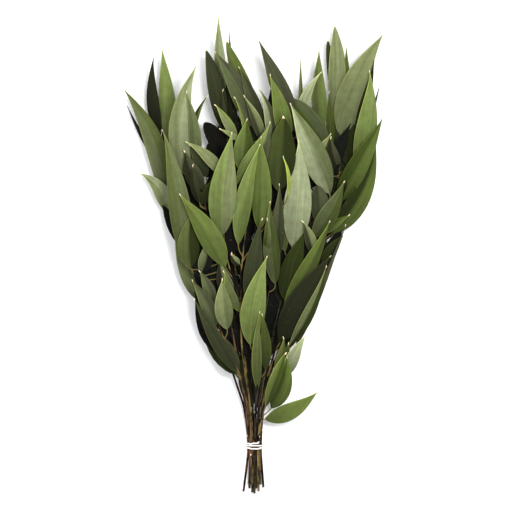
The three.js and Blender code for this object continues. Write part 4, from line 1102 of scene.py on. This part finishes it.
def wind(name, start, stop, height, closed):
    """One turn of the elastic, eased so that it bridges the dips between stems."""
    fine = divide(turn_round(start, stop, TURN_STEPS, height), STRAND_SPACING)
    fine = fine[:-1] if closed else fine
    for _ in range(EASING_ROUNDS):
        ahead, behind = np.roll(fine, -1, axis=0), np.roll(fine, 1, axis=0)
        eased = (2 * fine + ahead + behind) / 4
        if not closed:
            eased[[0, -1]] = fine[[0, -1]]
        fine = eased
    lengths = np.concatenate([[0], np.cumsum(np.linalg.norm(np.diff(fine, axis=0), axis=1))])
    fine[:, 2] = np.maximum(fine[:, 2], STRAND_RADIUS)
    strand = guide(f"turn_{name}", [fine * MM], closed=closed, lengthways=lengths)
    made = grow(strand, f"elastic_{name}", cord, ELASTIC_SIZES)
    press(made)
    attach(made, "root")
    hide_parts("tie")


wind("lower_turn", 0, 1, lower_height, True)
wind("upper_turn", 0, 1, upper_height, True)
wind("loose_turn", 0.2, 1.02, loose_height, False)


# The studio: a plain pale table, a soft light high on the right, a weaker and wider one low on the
# left, and a camera high above that looks straight down, with the leaf tips at the picture's top.
table_top = bpy.data.materials.new("Matt white table")
table_top.use_nodes = True
table_top.node_tree.nodes["Principled BSDF"].inputs["Base Color"].default_value = linear("#FAFAF9")
table_top.node_tree.nodes["Principled BSDF"].inputs["Roughness"].default_value = 0.9
TABLE_HALF = 6.0
TABLE_TOP = -0.0001
corners = [(x * TABLE_HALF, y * TABLE_HALF, TABLE_TOP) for x, y in ((-1, -1), (1, -1), (1, 1), (-1, 1))]
mesh = bpy.data.meshes.new("table")
mesh.from_pydata(corners, [], [(0, 1, 2, 3)])
mesh.materials.append(table_top)
table = bpy.data.objects.new("table", mesh)
bpy.context.scene.collection.objects.link(table)

LIGHTS = {"key": ((0.35, 0.22, 2.47), 0.45, 55.0), "fill": ((-1.1, -0.5, 2.1), 1.4, 12.0)}
for name, (place, size, power) in LIGHTS.items():
    lamp = bpy.data.lights.new(name, "AREA")
    lamp.shape = "SQUARE"
    lamp.size = size
    lamp.energy = power
    light = bpy.data.objects.new(name, lamp)
    light.location = place
    light.rotation_euler = (-light.location).to_track_quat("-Z", "Y").to_euler()
    bpy.context.scene.collection.objects.link(light)

world = bpy.data.worlds.new("Studio")
world.use_nodes = True
world.node_tree.nodes["Background"].inputs["Color"].default_value = linear("#F2F4F6")
world.node_tree.nodes["Background"].inputs["Strength"].default_value = 1.0
bpy.context.scene.world = world
bpy.context.scene.view_settings.view_transform = "Standard"

CAMERA_HEIGHT = 12.0
PICTURE_SIDE = 0.6375
PICTURE_MIDDLE = (0.00125, -0.000995)
LEAF_LEVEL = 0.05
camera = bpy.data.cameras.new("camera")
camera.sensor_width = 36
camera.lens = 36 * CAMERA_HEIGHT / PICTURE_SIDE
camera.clip_end = 50
viewer = bpy.data.objects.new("camera", camera)
viewer.location = (*PICTURE_MIDDLE, CAMERA_HEIGHT + LEAF_LEVEL)
bpy.context.scene.collection.objects.link(viewer)
bpy.context.scene.camera = viewer
